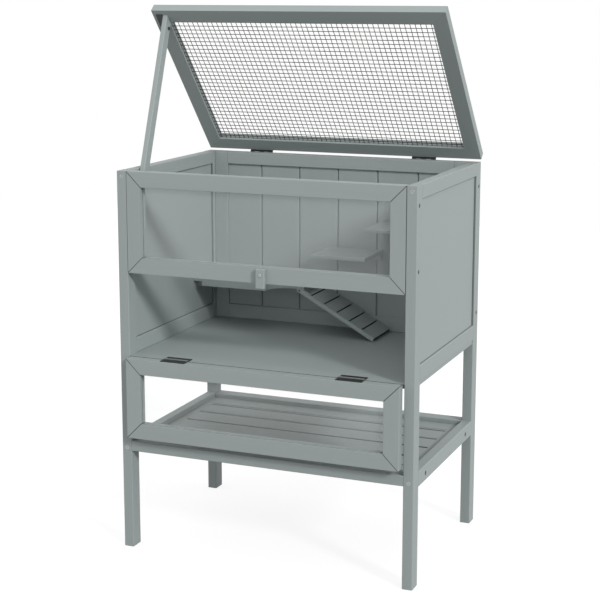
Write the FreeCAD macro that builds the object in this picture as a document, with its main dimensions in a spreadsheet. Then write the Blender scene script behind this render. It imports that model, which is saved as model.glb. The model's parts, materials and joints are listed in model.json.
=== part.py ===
import FreeCAD, Part
import os
import re

import Sketcher
from FreeCAD import Placement, Rotation, Vector

# Wooden hamster cage on legs, in millimetres: X to the right, Y to the back, Z up.
# The origin is on the floor, in the middle between the four posts.
# The lid is propped open, the front door hangs down and the ramp rests on the cage floor.

SIZES = {
    # Whole cage
    "width": 600,
    "depth": 410,
    "height": 750,
    "post_wide": 20,
    "post_deep": 30,
    "edge_ease": 1,
    "joint_gap": 0.2,
    # Side walls
    "top_rail_high": 26,
    "bottom_rail_high": 30,
    "panel_thick": 12,
    "panel_seat": 6,
    "groove_gap": 0.25,
    # Back wall
    "stile_wide": 30,
    "back_thick": 20,
    "board_thick": 10,
    "board_seat": 10,
    "board_vee": 2,
    "board_tongue_wide": 5,
    "board_tongue_thick": 3,
    # Cage floor
    "floor_top": 390,
    "floor_thick": 8,
    "floor_inset": 2,
    "notch_gap": 0.5,
    # Window and door frames
    "frame_wide": 30,
    "frame_thick": 20,
    "doorway_high": 164,
    "pane_thick": 3,
    "pane_seat": 6,
    "pane_gap": 0.15,
    "door_side_gap": 2.5,
    "door_top_gap": 2,
    "door_axis_out": 0.6,
    # Butt hinges of door and lid
    "hinge_wide": 51,
    "leaf_deep": 18,
    "leaf_thick": 1.5,
    "leaf_gap": 0.4,
    "knuckle_radius": 1.6,
    "knuckle_gap": 0.2,
    "pin_radius": 0.8,
    "pin_clearance": 0.05,
    "door_hinge_end": 101,
    "lid_hinge_end": 120,
    # Lid
    "lid_front_in": 16,
    "lid_thick": 17,
    "lid_rail_wide": 30,
    "lid_net_up": 5,
    "lid_net_seat": 6,
    "lid_angle": 48.3,
    "mesh_wire": 1.2,
    "mesh_thick": 1,
    # Prop stick of the lid
    "stay_wide": 10,
    "stay_deep": 20,
    "stay_angle": 20,
    "stay_reach": 300,
    "stay_axis_drop": 14,
    "stay_axis_in": 7,
    "stay_axis_back": 34,
    "stay_tip_gap": 0.3,
    "stay_side_gap": 0.3,
    "bracket_thick": 1.5,
    "bracket_deep": 32,
    "bracket_foot": 13,
    "bracket_ear": 8,
    "stay_pin_radius": 2,
    "stay_pin_head_radius": 3.6,
    "stay_pin_head_thick": 1.2,
    # Platform
    "platform_up": 86.6,
    "platform_thick": 18,
    "platform_long": 232,
    "platform_tongue_long": 19.6,
    "platform_tongue_thick": 8.4,
    "fitting_deep": 107,
    "scallop_end": 29,
    "scallop_in": 5.6,
    "scallop_radius": 38,
    "batten_thick": 12,
    "batten_high": 15,
    "batten_setback": 22,
    # Ramp
    "ramp_wide": 100,
    "ramp_thick": 8,
    "ramp_angle": 29,
    "ramp_axis_out": 9,
    "ramp_axis_up": 6.4,
    "ramp_notch_long": 20,
    "ramp_prong_wide": 10,
    "ramp_slot_first": 26,
    "ramp_slot_pitch": 31.6,
    "ramp_slot_wide": 3,
    "ramp_slot_deep": 5,
    "ramp_slot_border": 6,
    "ramp_rest_gap": 0.3,
    "ramp_rod_radius": 1.75,
    "ramp_block_long": 15,
    "ramp_block_high": 12.4,
    # Steps
    "step_wide": 116,
    "step_thick": 8,
    "step_end": 37,
    "step_overlap": 2,
    "step_low_up": 162,
    "step_high_up": 222,
    "step_batten_high": 12,
    "step_screw_in": 12,
    # Shelf
    "shelf_rail_low": 190,
    "shelf_rail_high": 30,
    "shelf_front_up": 8,
    "shelf_front_high": 20,
    "shelf_top_up": 20,
    "shelf_batten_wide": 18.5,
    "slat_wide": 60,
    "slat_gap": 4,
    "slat_thick": 12,
    "slat_tongue_long": 6,
    "slat_tongue_thick": 5,
    # Turn button
    "button_wide": 18,
    "button_high": 37,
    "button_thick": 8,
    "button_axis_down": 11,
    "button_rise": 28,
    "button_gap": 0.3,
    # Fasteners
    "hole_gap": 0.1,
    "bolt_head_radius": 4.5,
    "bolt_head_thick": 2.5,
    "bolt_radius": 3,
    "bolt_long": 60,
    "bolt_proud": 0.4,
    "bolt_top_down": 10,
    "shelf_bolt_up": 14,
    "shelf_bolt_end": 43,
    "shelf_bolt_long": 31,
    "screw_head_radius": 3.4,
    "screw_head_thick": 2,
    "screw_radius": 1.75,
    "screw_proud": 0.2,
    "wall_screw_long": 36,
    "wall_screw_in": 12,
    "front_screw_up": 41,
    "front_screw_down": 36,
    "rear_screw_up": 54,
    "rear_screw_down": 48,
    "floor_screw_long": 24,
    "floor_screw_side_end": 75,
    "floor_screw_back_end": 100,
    "step_screw_long": 16,
    "button_screw_long": 22,
    "dowel_radius": 3,
    "dowel_long": 36,
    "dowel_in_post": 12,
    "shelf_dowel_up": 22.5,
}

# Numbers of repeated things
BOARDS = 6
SLATS = 6
RAMP_SLOTS = 5
KNUCKLES = 5
MESH_COLUMNS = 22
MESH_ROWS = 13

# A cutter runs this far past the face it cuts
PAST = "2"

LEFT, RIGHT = -1, 1
FRONT, REAR = -1, 1
SIDES = ((LEFT, "left"), (RIGHT, "right"))
ENDS = ((FRONT, "front"), (REAR, "rear"))

# Places that several pieces share, worked out from the sizes
INNER_X = "(width / 2 - post_wide)"
INNER_Y = "(depth / 2 - post_deep)"
WALL_MID_X = "(width / 2 - post_wide / 2)"
PANEL_FACE_X = f"({WALL_MID_X} - panel_thick / 2)"
WALL_LOW = "(floor_top + bottom_rail_high)"
WALL_HIGH = "(height - top_rail_high)"
BACK_FACE_Y = "(depth / 2 - back_thick)"
BACK_MID_Y = "(depth / 2 - back_thick / 2)"
BOARD_FACE_Y = f"({BACK_MID_Y} - board_thick / 2)"
BACK_OPENING_X = f"({INNER_X} - stile_wide)"
FRAME_BACK_Y = "(-depth / 2 + frame_thick)"
HINGE_STACK = "(2 * leaf_thick + leaf_gap)"
DOOR_AXIS_Y = "(-depth / 2 - door_axis_out)"
DOOR_AXIS_Z = "(floor_top + leaf_thick + leaf_gap / 2)"
DOOR_HALF = f"({INNER_X} - door_side_gap)"
DOOR_HINGE_X = f"({INNER_X} - door_hinge_end)"
DOOR_HIGH = f"(doorway_high - door_top_gap - {HINGE_STACK})"
WINDOW_LOW = "(floor_top + doorway_high)"
LID_AXIS_Y = "(depth / 2 + leaf_thick + leaf_gap / 2)"
LID_AXIS_Z = "(height + leaf_thick + leaf_gap / 2)"
LID_LOW = f"(height + {HINGE_STACK})"
LID_HINGE_X = "(width / 2 - lid_hinge_end)"
LID_DEEP = "(depth - lid_front_in)"
LID_FRONT_Y = f"(depth / 2 - {LID_DEEP})"
LID_NET_LOW = f"({LID_LOW} + lid_net_up)"
FITTING_Y = f"({BOARD_FACE_Y} - fitting_deep)"
PLATFORM_LOW = "(floor_top + platform_up)"
PLATFORM_END = f"(platform_long - {PANEL_FACE_X})"
PLATFORM_TOP = f"({PLATFORM_LOW} + platform_thick)"
TONGUE_LOW = f"({PLATFORM_TOP} - platform_tongue_thick)"
RAMP_AXIS_X = f"({PLATFORM_END} + ramp_axis_out)"
RAMP_AXIS_Z = f"({PLATFORM_LOW} + ramp_axis_up)"
BUTTON_FACE_Y = "(-depth / 2 - button_gap - button_thick)"
BUTTON_TOP = f"({WINDOW_LOW} + button_rise)"
BUTTON_AXIS_Z = f"({BUTTON_TOP} - button_axis_down)"
SHELF_TOP = "(shelf_rail_low + shelf_top_up)"
SHELF_BOLT_Z = "(shelf_rail_low + shelf_bolt_up)"
SCREW_LEVELS = {
    ("front", "low"): f"{WINDOW_LOW} + front_screw_up",
    ("front", "high"): "height - front_screw_down",
    ("rear", "low"): "floor_top + rear_screw_up",
    ("rear", "high"): "height - rear_screw_down",
}

DOC = FreeCAD.newDocument("HamsterCage")
SHEET = DOC.addObject("Spreadsheet::Sheet", "Sizes")
for row, (alias, number) in enumerate(SIZES.items(), start=1):
    SHEET.set(f"A{row}", alias)
    SHEET.set(f"B{row}", str(number))
    SHEET.setAlias(f"B{row}", alias)
DOC.recompute()

NODES = []


def linked(formula):
    """The formula with each size in it pointed at its cell of the sheet."""
    return re.sub(r"[a-z]\w*", lambda word: f"Sizes.{word[0]}" if word[0] in SIZES else word[0], formula)


def value(formula):
    """What the formula comes to with the sheet's present sizes."""
    return float(SHEET.evalExpression(linked(formula)))


def bind(thing, **formulas):
    """Tie properties of an object to formulas; x, y, z and turn stand for its place and its angle."""
    places = {"x": "Placement.Base.x", "y": "Placement.Base.y", "z": "Placement.Base.z",
              "turn": "Placement.Rotation.Angle"}
    for key, formula in formulas.items():
        thing.setExpression(places.get(key, key), linked(formula))
    return thing


def node(piece, name):
    """Take a finished piece into the part under its own name."""
    piece.Label = name
    NODES.append(piece)
    return piece


def aside(side, near, far):
    """The interval between two distances from the middle, on the side that the sign gives."""
    return (near, far) if side > 0 else (f"-({far})", f"-({near})")


def around(middle, half):
    """The interval that reaches half a width to each side of its middle."""
    return (f"{middle} - ({half})", f"{middle} + ({half})")


def box(name, x, y, z):
    """A block that fills three intervals, each a pair of formulas."""
    block = DOC.addObject("Part::Box", name)
    for size, letter, (low, high) in zip(("Length", "Width", "Height"), "xyz", (x, y, z)):
        bind(block, **{size: f"({high}) - ({low})", letter: low})
    return block


def stick(name, x, y, z, along):
    """A block whose four edges along one axis are eased."""
    block = box(name + "_block", x, y, z)
    edges = {"x": (9, 10, 11, 12), "y": (2, 4, 6, 8), "z": (1, 3, 5, 7)}[along]
    return eased(name, block, edges, "edge_ease")


def eased(name, block, edges, size):
    """A block with small bevels on numbered edges."""
    bevel = DOC.addObject("Part::Chamfer", name)
    bevel.Base = block
    width = value(size)
    bevel.Edges = [(edge, width, width) for edge in edges]
    return bevel


TURNS = {
    "+x": Rotation(Vector(0, 1, 0), 90),
    "-x": Rotation(Vector(0, 1, 0), -90),
    "+y": Rotation(Vector(1, 0, 0), -90),
    "-y": Rotation(Vector(1, 0, 0), 90),
    "+z": Rotation(),
    "-z": Rotation(Vector(1, 0, 0), 180),
}


def rod(name, start, way, radius, length):
    """A cylinder from a start point along one way, such as +x."""
    solid = DOC.addObject("Part::Cylinder", name)
    solid.Placement = Placement(Vector(0, 0, 0), TURNS[way])
    x, y, z = start
    return bind(solid, Radius=radius, Height=length, x=x, y=y, z=z)


def joined(name, pieces):
    """Pieces grown together into one."""
    if len(pieces) == 1:
        return pieces[0]
    whole = DOC.addObject("Part::MultiFuse", name)
    whole.Shapes = pieces
    return whole


def group(name, pieces):
    """Separate like pieces that share one node."""
    set_of = DOC.addObject("Part::Compound", name)
    set_of.Links = pieces
    return set_of


def cut(name, base, tools):
    """A piece with every tool taken out of it."""
    result = DOC.addObject("Part::Cut", name)
    result.Base = base
    result.Tool = joined(name + "_tools", list(tools))
    return result


def base_plane(body):
    """The body's own horizontal plane."""
    return next(item for item in body.Origin.OriginFeatures if item.Role == "XY_Plane")


def outline(body, name, corners, level="0"):
    """A closed sketch through corners that formulas place, at a level above the body's plane."""
    sketch = body.newObject("Sketcher::SketchObject", name)
    sketch.AttachmentSupport = [(base_plane(body), "")]
    sketch.MapMode = "FlatFace"
    sketch.setExpression("AttachmentOffset.Base.z", linked(level))
    spots = [Vector(value(x), value(y), 0) for x, y in corners]
    count = len(spots)
    for index, spot in enumerate(spots):
        sketch.addGeometry(Part.LineSegment(spot, spots[(index + 1) % count]))
    for index in range(count):
        sketch.addConstraint(Sketcher.Constraint("Coincident", index, 2, (index + 1) % count, 1))
    for index, corner in enumerate(corners):
        for kind, formula in zip(("DistanceX", "DistanceY"), corner):
            dimension = Sketcher.Constraint(kind, -1, 1, index, 1, value(formula))
            number = sketch.addConstraint(dimension)
            sketch.setExpression(f"Constraints[{number}]", linked(formula))
    return sketch


def pad(body, name, sketch, length):
    """Material above a sketch."""
    feature = body.newObject("PartDesign::Pad", name)
    feature.Profile = sketch
    return bind(feature, Length=length)


def pocket(body, name, sketch, length):
    """A recess below a sketch."""
    feature = body.newObject("PartDesign::Pocket", name)
    feature.Profile = sketch
    return bind(feature, Length=length)


def fastener(name, head, way, length, kind):
    """A bolt or screw whose head's outer face is at a point, and the hole that it fits."""
    x, y, z = head
    origin = ("0", "0", "0")
    cap = rod(name + "_cap", origin, "+z", f"{kind}_head_radius", f"{kind}_head_thick")
    shank = rod(name + "_shank", origin, "+z", f"{kind}_radius", length)
    solid = joined(name, [cap, shank])
    above = ("0", "0", f"-({PAST})")
    sink = rod(name + "_sink", above, "+z", f"{kind}_head_radius + hole_gap",
               f"{kind}_head_thick + {PAST} + hole_gap")
    bore = rod(name + "_bore", origin, "+z", f"{kind}_radius + hole_gap", f"{length} + hole_gap")
    hole = joined(name + "_hole", [sink, bore])
    for piece in (solid, hole):
        piece.Placement = Placement(Vector(0, 0, 0), TURNS[way])
        bind(piece, x=x, y=y, z=z)
    return solid, hole


def dowel(name, start, way):
    """A dowel from a start point along one way, and the hole that it fits."""
    x, y, z = start
    letter, sign = way[1], way[0]
    opposite = "-" if sign == "+" else "+"
    places = {"x": x, "y": y, "z": z}
    places[letter] = f"{places[letter]} {opposite} hole_gap"
    pin = rod(name, start, way, "dowel_radius", "dowel_long")
    spot = (places["x"], places["y"], places["z"])
    hole = rod(name + "_hole", spot, way, "dowel_radius + hole_gap", "dowel_long + 2 * hole_gap")
    return pin, hole


def mitred_member(name, length, width, thick, groove_low, groove_high, groove_deep):
    """A frame member with 45 degree ends and a groove along its inner edge.

    It lies along X with its outer, longer edge on the X axis and its inner edge at +Y.
    """
    body = DOC.addObject("PartDesign::Body", name)
    corners = [("0", "0"), (length, "0"), (f"{length} - {width}", width), (width, width)]
    pad(body, name + "_pad", outline(body, name + "_outline", corners), thick)
    near = f"{width} - {groove_deep}"
    far = f"{width} + {PAST}"
    ends = (f"-({PAST})", f"{length} + {PAST}")
    strip = [(ends[0], near), (ends[1], near), (ends[1], far), (ends[0], far)]
    sketch = outline(body, name + "_groove_outline", strip, groove_high)
    pocket(body, name + "_groove", sketch, f"{groove_high} - {groove_low}")
    return body


def frame_members(name, half, low, high, back_y, groove):
    """The four mitred members of an upright frame that is centred on X.

    Their thickness runs forward from back_y. The names are name_bottom_rail and so on.
    """
    wide = f"({half}) * 2"
    tall = f"({high}) - ({low})"
    spots = {
        "bottom_rail": (wide, 0, f"-({half})", low),
        "right_stile": (tall, -90, half, low),
        "top_rail": (wide, 180, half, high),
        "left_stile": (tall, 90, f"-({half})", high),
    }
    members = {}
    for place, (length, turn, x, z) in spots.items():
        member = mitred_member(f"{name}_{place}_bar", f"({length})", "frame_wide", "frame_thick", *groove)
        upright = Rotation(Vector(0, 1, 0), turn) * Rotation(Vector(1, 0, 0), 90)
        member.Placement = Placement(Vector(0, 0, 0), upright)
        members[place] = bind(member, x=x, y=back_y, z=z)
    return members


# Screws, bolts and dowels, made first because the wood is bored for them

HOLES = {"post": {}, "wall_top": {}, "wall_bottom": {}, "stile": {}, "window": {}, "shelf_side": {},
         "shelf_batten": {}, "shelf_front": {}}


def bored(group_name, key):
    """The holes that a piece has to be bored with."""
    return HOLES[group_name].setdefault(key, [])


frame_bolts = []
wall_screws = []
dowels = []
for side, side_name in SIDES:
    for end, end_name in ENDS:
        key = f"{end_name}_{side_name}"
        x = aside(side, WALL_MID_X, WALL_MID_X)[0]
        y = aside(end, "depth / 2 + bolt_proud", "0")[0 if end > 0 else 1]
        inward = "-y" if end > 0 else "+y"
        for level, z, rail in (("top", "height - bolt_top_down", "wall_top"),
                               ("shelf", SHELF_BOLT_Z, "shelf_side")):
            bolt, hole = fastener(f"bolt_{key}_{level}", (x, y, z), inward, "bolt_long", "bolt")
            frame_bolts.append(bolt)
            bored("post", key).append(hole)
            bored(rail, side_name).append(hole)

        x = aside(side, "width / 2 + screw_proud", "0")[0 if side > 0 else 1]
        y = f"{end} * (depth / 2 - wall_screw_in)"
        inward = "-x" if side > 0 else "+x"
        frame = "stile" if end > 0 else "window"
        for level in ("low", "high"):
            screw, hole = fastener(f"wall_screw_{key}_{level}", (x, y, SCREW_LEVELS[end_name, level]),
                                   inward, "wall_screw_long", "screw")
            wall_screws.append(screw)
            bored("post", key).append(hole)
            bored(frame, side_name).append(hole)

        x = aside(side, WALL_MID_X, WALL_MID_X)[0]
        y = aside(end, f"{INNER_Y} + dowel_in_post", "0")[0 if end > 0 else 1]
        inward = "-y" if end > 0 else "+y"
        pin, hole = dowel(f"wall_dowel_{key}", (x, y, "floor_top + bottom_rail_high / 2"), inward)
        dowels.append(pin)
        bored("post", key).append(hole)
        bored("wall_bottom", side_name).append(hole)

        x = aside(side, f"{INNER_X} + dowel_in_post", "0")[0 if side > 0 else 1]
        y = f"{end} * (depth / 2 - post_deep / 2)"
        inward = "-x" if side > 0 else "+x"
        pin, hole = dowel(f"shelf_dowel_{key}", (x, y, "shelf_rail_low + shelf_dowel_up"), inward)
        dowels.append(pin)
        bored("post", key).append(hole)
        bored("shelf_front", end_name).append(hole)

        x = aside(side, "width / 2 + bolt_proud", "0")[0 if side > 0 else 1]
        y = f"{end} * ({INNER_Y} - shelf_bolt_end)"
        bolt, hole = fastener(f"shelf_bolt_{key}", (x, y, SHELF_BOLT_Z), inward, "shelf_bolt_long", "bolt")
        frame_bolts.append(bolt)
        bored("shelf_side", side_name).append(hole)
        bored("shelf_batten", side_name).append(hole)

node(group("frame_bolts", frame_bolts), "frame_bolts")
node(group("wall_screws", wall_screws), "wall_screws")
node(group("rail_dowels", dowels), "rail_dowels")

floor_screws = []
floor_holes = []
side_screw_y = f"({INNER_Y} - floor_screw_side_end)"
back_screw_x = f"({BACK_OPENING_X} - floor_screw_back_end)"
for index, (x, y) in enumerate((
    (f"-{WALL_MID_X}", f"-{side_screw_y}"),
    (f"-{WALL_MID_X}", side_screw_y),
    (WALL_MID_X, f"-{side_screw_y}"),
    (WALL_MID_X, side_screw_y),
    (f"-{back_screw_x}", BACK_MID_Y),
    (back_screw_x, BACK_MID_Y),
)):
    low = "floor_top - floor_thick - screw_proud"
    screw, hole = fastener(f"floor_screw_{index}", (x, y, low), "+z", "floor_screw_long", "screw")
    floor_screws.append(screw)
    floor_holes.append(hole)
node(group("floor_screws", floor_screws), "floor_screws")

# Posts

GROOVE_HALF = "(panel_thick / 2 + groove_gap)"
PANEL_LOW = f"({WALL_LOW} - panel_seat)"
PANEL_HIGH = f"({WALL_HIGH} + panel_seat)"
for side, side_name in SIDES:
    slot_x = aside(side, f"{WALL_MID_X} - {GROOVE_HALF}", f"{WALL_MID_X} + {GROOVE_HALF}")
    for end, end_name in ENDS:
        key = f"{end_name}_{side_name}"
        block = stick(
            f"post_{key}_stick",
            aside(side, INNER_X, "width / 2"),
            aside(end, INNER_Y, "depth / 2"),
            ("0", "height"),
            "z",
        )
        groove = box(
            f"post_{key}_groove",
            slot_x,
            aside(end, f"{INNER_Y} - {PAST}", f"{INNER_Y} + panel_seat + groove_gap"),
            (f"{PANEL_LOW} - groove_gap", f"{PANEL_HIGH} + groove_gap"),
        )
        node(cut(f"post_{key}", block, [groove] + bored("post", key)), f"post_{key}")

# Side walls

for side, side_name in SIDES:
    rail_x = aside(side, INNER_X, "width / 2")
    rail_y = (f"-{INNER_Y}", INNER_Y)
    slot_x = aside(side, f"{WALL_MID_X} - {GROOVE_HALF}", f"{WALL_MID_X} + {GROOVE_HALF}")
    slot_y = (f"-{INNER_Y} - {PAST}", f"{INNER_Y} + {PAST}")
    top = stick(f"top_{side_name}_stick", rail_x, rail_y, (WALL_HIGH, "height"), "y")
    top_groove = box(f"top_{side_name}_groove", slot_x, slot_y,
                     (f"{WALL_HIGH} - {PAST}", f"{PANEL_HIGH} + groove_gap"))
    node(cut(f"wall_top_rail_{side_name}", top, [top_groove] + bored("wall_top", side_name)),
         f"wall_top_rail_{side_name}")
    bottom = stick(f"bottom_{side_name}_stick", rail_x, rail_y, ("floor_top", WALL_LOW), "y")
    bottom_groove = box(f"bottom_{side_name}_groove", slot_x, slot_y,
                        (f"{PANEL_LOW} - groove_gap", f"{WALL_LOW} + {PAST}"))
    screws_here = floor_holes[0:2] if side < 0 else floor_holes[2:4]
    tools = [bottom_groove] + bored("wall_bottom", side_name) + screws_here
    node(cut(f"wall_bottom_rail_{side_name}", bottom, tools), f"wall_bottom_rail_{side_name}")
    node(box(
        f"wall_panel_{side_name}",
        aside(side, f"{WALL_MID_X} - panel_thick / 2", f"{WALL_MID_X} + panel_thick / 2"),
        (f"-{INNER_Y} - panel_seat", f"{INNER_Y} + panel_seat"),
        (PANEL_LOW, PANEL_HIGH),
    ), f"wall_panel_{side_name}")

# Back wall

BACK_Y = (BACK_FACE_Y, "depth / 2")
BOARD_SLOT_Y = around(BACK_MID_Y, "board_thick / 2 + groove_gap")
BOARD_LOW = f"({WALL_LOW} - board_seat)"
BOARD_HIGH = f"({WALL_HIGH} + board_seat)"
for side, side_name in SIDES:
    stile = stick(f"stile_{side_name}_stick", aside(side, BACK_OPENING_X, INNER_X), BACK_Y,
                  ("floor_top", "height"), "z")
    groove = box(
        f"stile_{side_name}_groove",
        aside(side, f"{BACK_OPENING_X} - {PAST}", f"{BACK_OPENING_X} + board_seat + groove_gap"),
        BOARD_SLOT_Y,
        (f"{BOARD_LOW} - groove_gap", f"{BOARD_HIGH} + groove_gap"),
    )
    node(cut(f"back_stile_{side_name}", stile, [groove] + bored("stile", side_name)),
         f"back_stile_{side_name}")

back_x = (f"-{BACK_OPENING_X}", BACK_OPENING_X)
slot_x = (f"-{BACK_OPENING_X} - {PAST}", f"{BACK_OPENING_X} + {PAST}")
top = stick("back_top_stick", back_x, BACK_Y, (WALL_HIGH, "height"), "x")
top_groove = box("back_top_groove", slot_x, BOARD_SLOT_Y,
                 (f"{WALL_HIGH} - {PAST}", f"{BOARD_HIGH} + groove_gap"))
node(cut("back_top_rail", top, [top_groove]), "back_top_rail")
bottom = stick("back_bottom_stick", back_x, BACK_Y, ("floor_top", WALL_LOW), "x")
bottom_groove = box("back_bottom_groove", slot_x, BOARD_SLOT_Y,
                    (f"{BOARD_LOW} - groove_gap", f"{WALL_LOW} + {PAST}"))
node(cut("back_bottom_rail", bottom, [bottom_groove] + floor_holes[4:6]), "back_bottom_rail")

BOARDS_HALF = f"({BACK_OPENING_X} + board_seat)"
boards = []
for index in range(BOARDS):
    left = f"(-{BOARDS_HALF} + {index} * 2 * {BOARDS_HALF} / {BOARDS})"
    right = f"(-{BOARDS_HALF} + {index + 1} * 2 * {BOARDS_HALF} / {BOARDS})"
    board_z = (BOARD_LOW, BOARD_HIGH)
    block = box(f"board_{index}_block", (f"{left} + joint_gap / 2", f"{right} - joint_gap / 2"),
                around(BACK_MID_Y, "board_thick / 2"), board_z)
    board = eased(f"board_{index}_eased", block, (1, 3, 5, 7), "board_vee")
    if index < BOARDS - 1:
        tongue = box(f"board_{index}_tongue", (f"{right} - {PAST}", f"{right} + board_tongue_wide"),
                     around(BACK_MID_Y, "board_tongue_thick / 2"), board_z)
        board = joined(f"board_{index}_tongued", [board, tongue])
    if index > 0:
        groove = box(
            f"board_{index}_groove",
            (f"{left} - {PAST}", f"{left} + board_tongue_wide + groove_gap"),
            around(BACK_MID_Y, "board_tongue_thick / 2 + groove_gap"),
            (f"{BOARD_LOW} - {PAST}", f"{BOARD_HIGH} + {PAST}"),
        )
        board = cut(f"board_{index}", board, [groove])
    boards.append(board)
node(group("back_boards", boards), "back_boards")

# Cage floor

floor = box("floor_block", ("-width / 2 + floor_inset", "width / 2 - floor_inset"),
            ("-depth / 2", "depth / 2"), ("floor_top - floor_thick", "floor_top"))
notches = []
for side, side_name in SIDES:
    for end, end_name in ENDS:
        notches.append(box(
            f"floor_notch_{end_name}_{side_name}",
            aside(side, f"{INNER_X} - notch_gap", f"width / 2 + {PAST}"),
            aside(end, f"{INNER_Y} - notch_gap", f"depth / 2 + {PAST}"),
            (f"floor_top - floor_thick - {PAST}", f"floor_top + {PAST}"),
        ))
node(cut("floor_board", floor, notches + floor_holes), "floor_board")

# Fixed window

PANE_GROOVE = (
    "(frame_thick / 2 - pane_thick / 2 - pane_gap)",
    "(frame_thick / 2 + pane_thick / 2 + pane_gap)",
    "(pane_seat + pane_gap)",
)
window = frame_members("window", INNER_X, WINDOW_LOW, "height", FRAME_BACK_Y, PANE_GROOVE)
button_head_y = f"{BUTTON_FACE_Y} - joint_gap - screw_head_thick"
button_screw, button_hole = fastener(
    "button_screw", ("0", button_head_y, BUTTON_AXIS_Z), "+y", "button_screw_long", "screw")
node(button_screw, "button_screw")
node(window["top_rail"], "window_top_rail")
node(cut("window_bottom_rail", window["bottom_rail"], [button_hole]), "window_bottom_rail")
for side, side_name in SIDES:
    stile = window[f"{side_name}_stile"]
    node(cut(f"window_stile_{side_name}", stile, bored("window", side_name)), f"window_stile_{side_name}")
PANE_OVERLAP = "(frame_wide - pane_seat)"
node(box(
    "window_pane",
    (f"-{INNER_X} + {PANE_OVERLAP}", f"{INNER_X} - {PANE_OVERLAP}"),
    around(f"({FRAME_BACK_Y} - frame_thick / 2)", "pane_thick / 2"),
    (f"{WINDOW_LOW} + {PANE_OVERLAP}", f"height - {PANE_OVERLAP}"),
), "window_pane")

# Front door, hanging open with its outer face towards the cage

DOOR_TOP = "floor_top"
DOOR_LOW = f"(floor_top - {DOOR_HIGH})"
DOOR_NEAR_Y = "(-depth / 2 - 2 * door_axis_out)"
door = frame_members("door", DOOR_HALF, DOOR_LOW, DOOR_TOP, DOOR_NEAR_Y, PANE_GROOVE)
node(door["top_rail"], "door_hinge_rail")
node(door["bottom_rail"], "door_free_rail")
node(door["left_stile"], "door_stile_left")
node(door["right_stile"], "door_stile_right")
node(box(
    "door_pane",
    (f"-{DOOR_HALF} + {PANE_OVERLAP}", f"{DOOR_HALF} - {PANE_OVERLAP}"),
    around(f"({DOOR_NEAR_Y} - frame_thick / 2)", "pane_thick / 2"),
    (f"{DOOR_LOW} + {PANE_OVERLAP}", f"{DOOR_TOP} - {PANE_OVERLAP}"),
), "door_pane")

# Butt hinges


def hinge_leaf(name, knuckles):
    """One leaf with its knuckles, on a hinge line along X through the origin.

    The plate lies below the line and reaches out along +Y.
    """
    start = "(knuckle_radius + knuckle_gap)"
    plate_z = ("-leaf_gap / 2 - leaf_thick", "-leaf_gap / 2")
    pieces = [box(f"{name}_plate", ("-hinge_wide / 2", "hinge_wide / 2"), (start, "leaf_deep"), plate_z)]
    for number in knuckles:
        left = f"(-hinge_wide / 2 + {number} * hinge_wide / {KNUCKLES} + knuckle_gap / 2)"
        length = f"(hinge_wide / {KNUCKLES} - knuckle_gap)"
        barrel = rod(f"{name}_barrel_{number}", (left, "0", "0"), "+x", "knuckle_radius", length)
        web = box(f"{name}_web_{number}", (left, f"{left} + {length}"), ("0", f"{start} + knuckle_gap"),
                  ("-knuckle_radius", "-leaf_gap / 2"))
        pieces += [barrel, web]
    bore = rod(f"{name}_bore", (f"-hinge_wide / 2 - {PAST}", "0", "0"), "+x",
               "pin_radius + pin_clearance", f"hinge_wide + 2 * {PAST}")
    return cut(name, joined(f"{name}_whole", pieces), [bore])


def placed(piece, turn, x, y, z, angle=None):
    """A piece set at a point and turned there."""
    piece.Placement = Placement(Vector(0, 0, 0), turn)
    bind(piece, x=x, y=y, z=z)
    if angle:
        bind(piece, turn=angle)
    return piece


FIXED_KNUCKLES = range(0, KNUCKLES, 2)
MOVING_KNUCKLES = range(1, KNUCKLES, 2)
HALF_TURN = Rotation(Vector(0, 0, 1), 180)
UNTURNED = Rotation()
HANGING = Rotation(Vector(1, 0, 0), -90)
STANDING = Rotation(Vector(0, 1, 1), 180)
fixed_leaves = []
pins = []
lid_leaves = []
door_leaves = []
for side, side_name in SIDES:
    x = f"{side} * {LID_HINGE_X}"
    fixed_leaves.append(placed(hinge_leaf(f"lid_fixed_leaf_{side_name}", FIXED_KNUCKLES), HANGING,
                               x, LID_AXIS_Y, LID_AXIS_Z))
    lid_leaves.append(placed(hinge_leaf(f"lid_leaf_{side_name}", MOVING_KNUCKLES), STANDING,
                             x, LID_AXIS_Y, LID_AXIS_Z))
    pins.append(rod(f"lid_pin_{side_name}", (f"{x} - hinge_wide / 2", LID_AXIS_Y, LID_AXIS_Z), "+x",
                    "pin_radius", "hinge_wide"))
    x = f"{side} * {DOOR_HINGE_X}"
    fixed_leaves.append(placed(hinge_leaf(f"door_fixed_leaf_{side_name}", FIXED_KNUCKLES), UNTURNED,
                               x, DOOR_AXIS_Y, DOOR_AXIS_Z))
    door_leaves.append(placed(hinge_leaf(f"door_leaf_{side_name}", MOVING_KNUCKLES), HALF_TURN,
                              x, DOOR_AXIS_Y, DOOR_AXIS_Z))
    pins.append(rod(f"door_pin_{side_name}", (f"{x} - hinge_wide / 2", DOOR_AXIS_Y, DOOR_AXIS_Z), "+x",
                    "pin_radius", "hinge_wide"))
node(group("cabinet_hinge_leaves", fixed_leaves), "cabinet_hinge_leaves")
node(group("hinge_pins", pins), "hinge_pins")
node(group("door_hinge_leaves", door_leaves), "door_hinge_leaves")

# Lid, modelled closed and then turned up about its hinge line

LID_GROOVE = ("lid_net_up", "(lid_net_up + mesh_thick)", "lid_net_seat")


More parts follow.
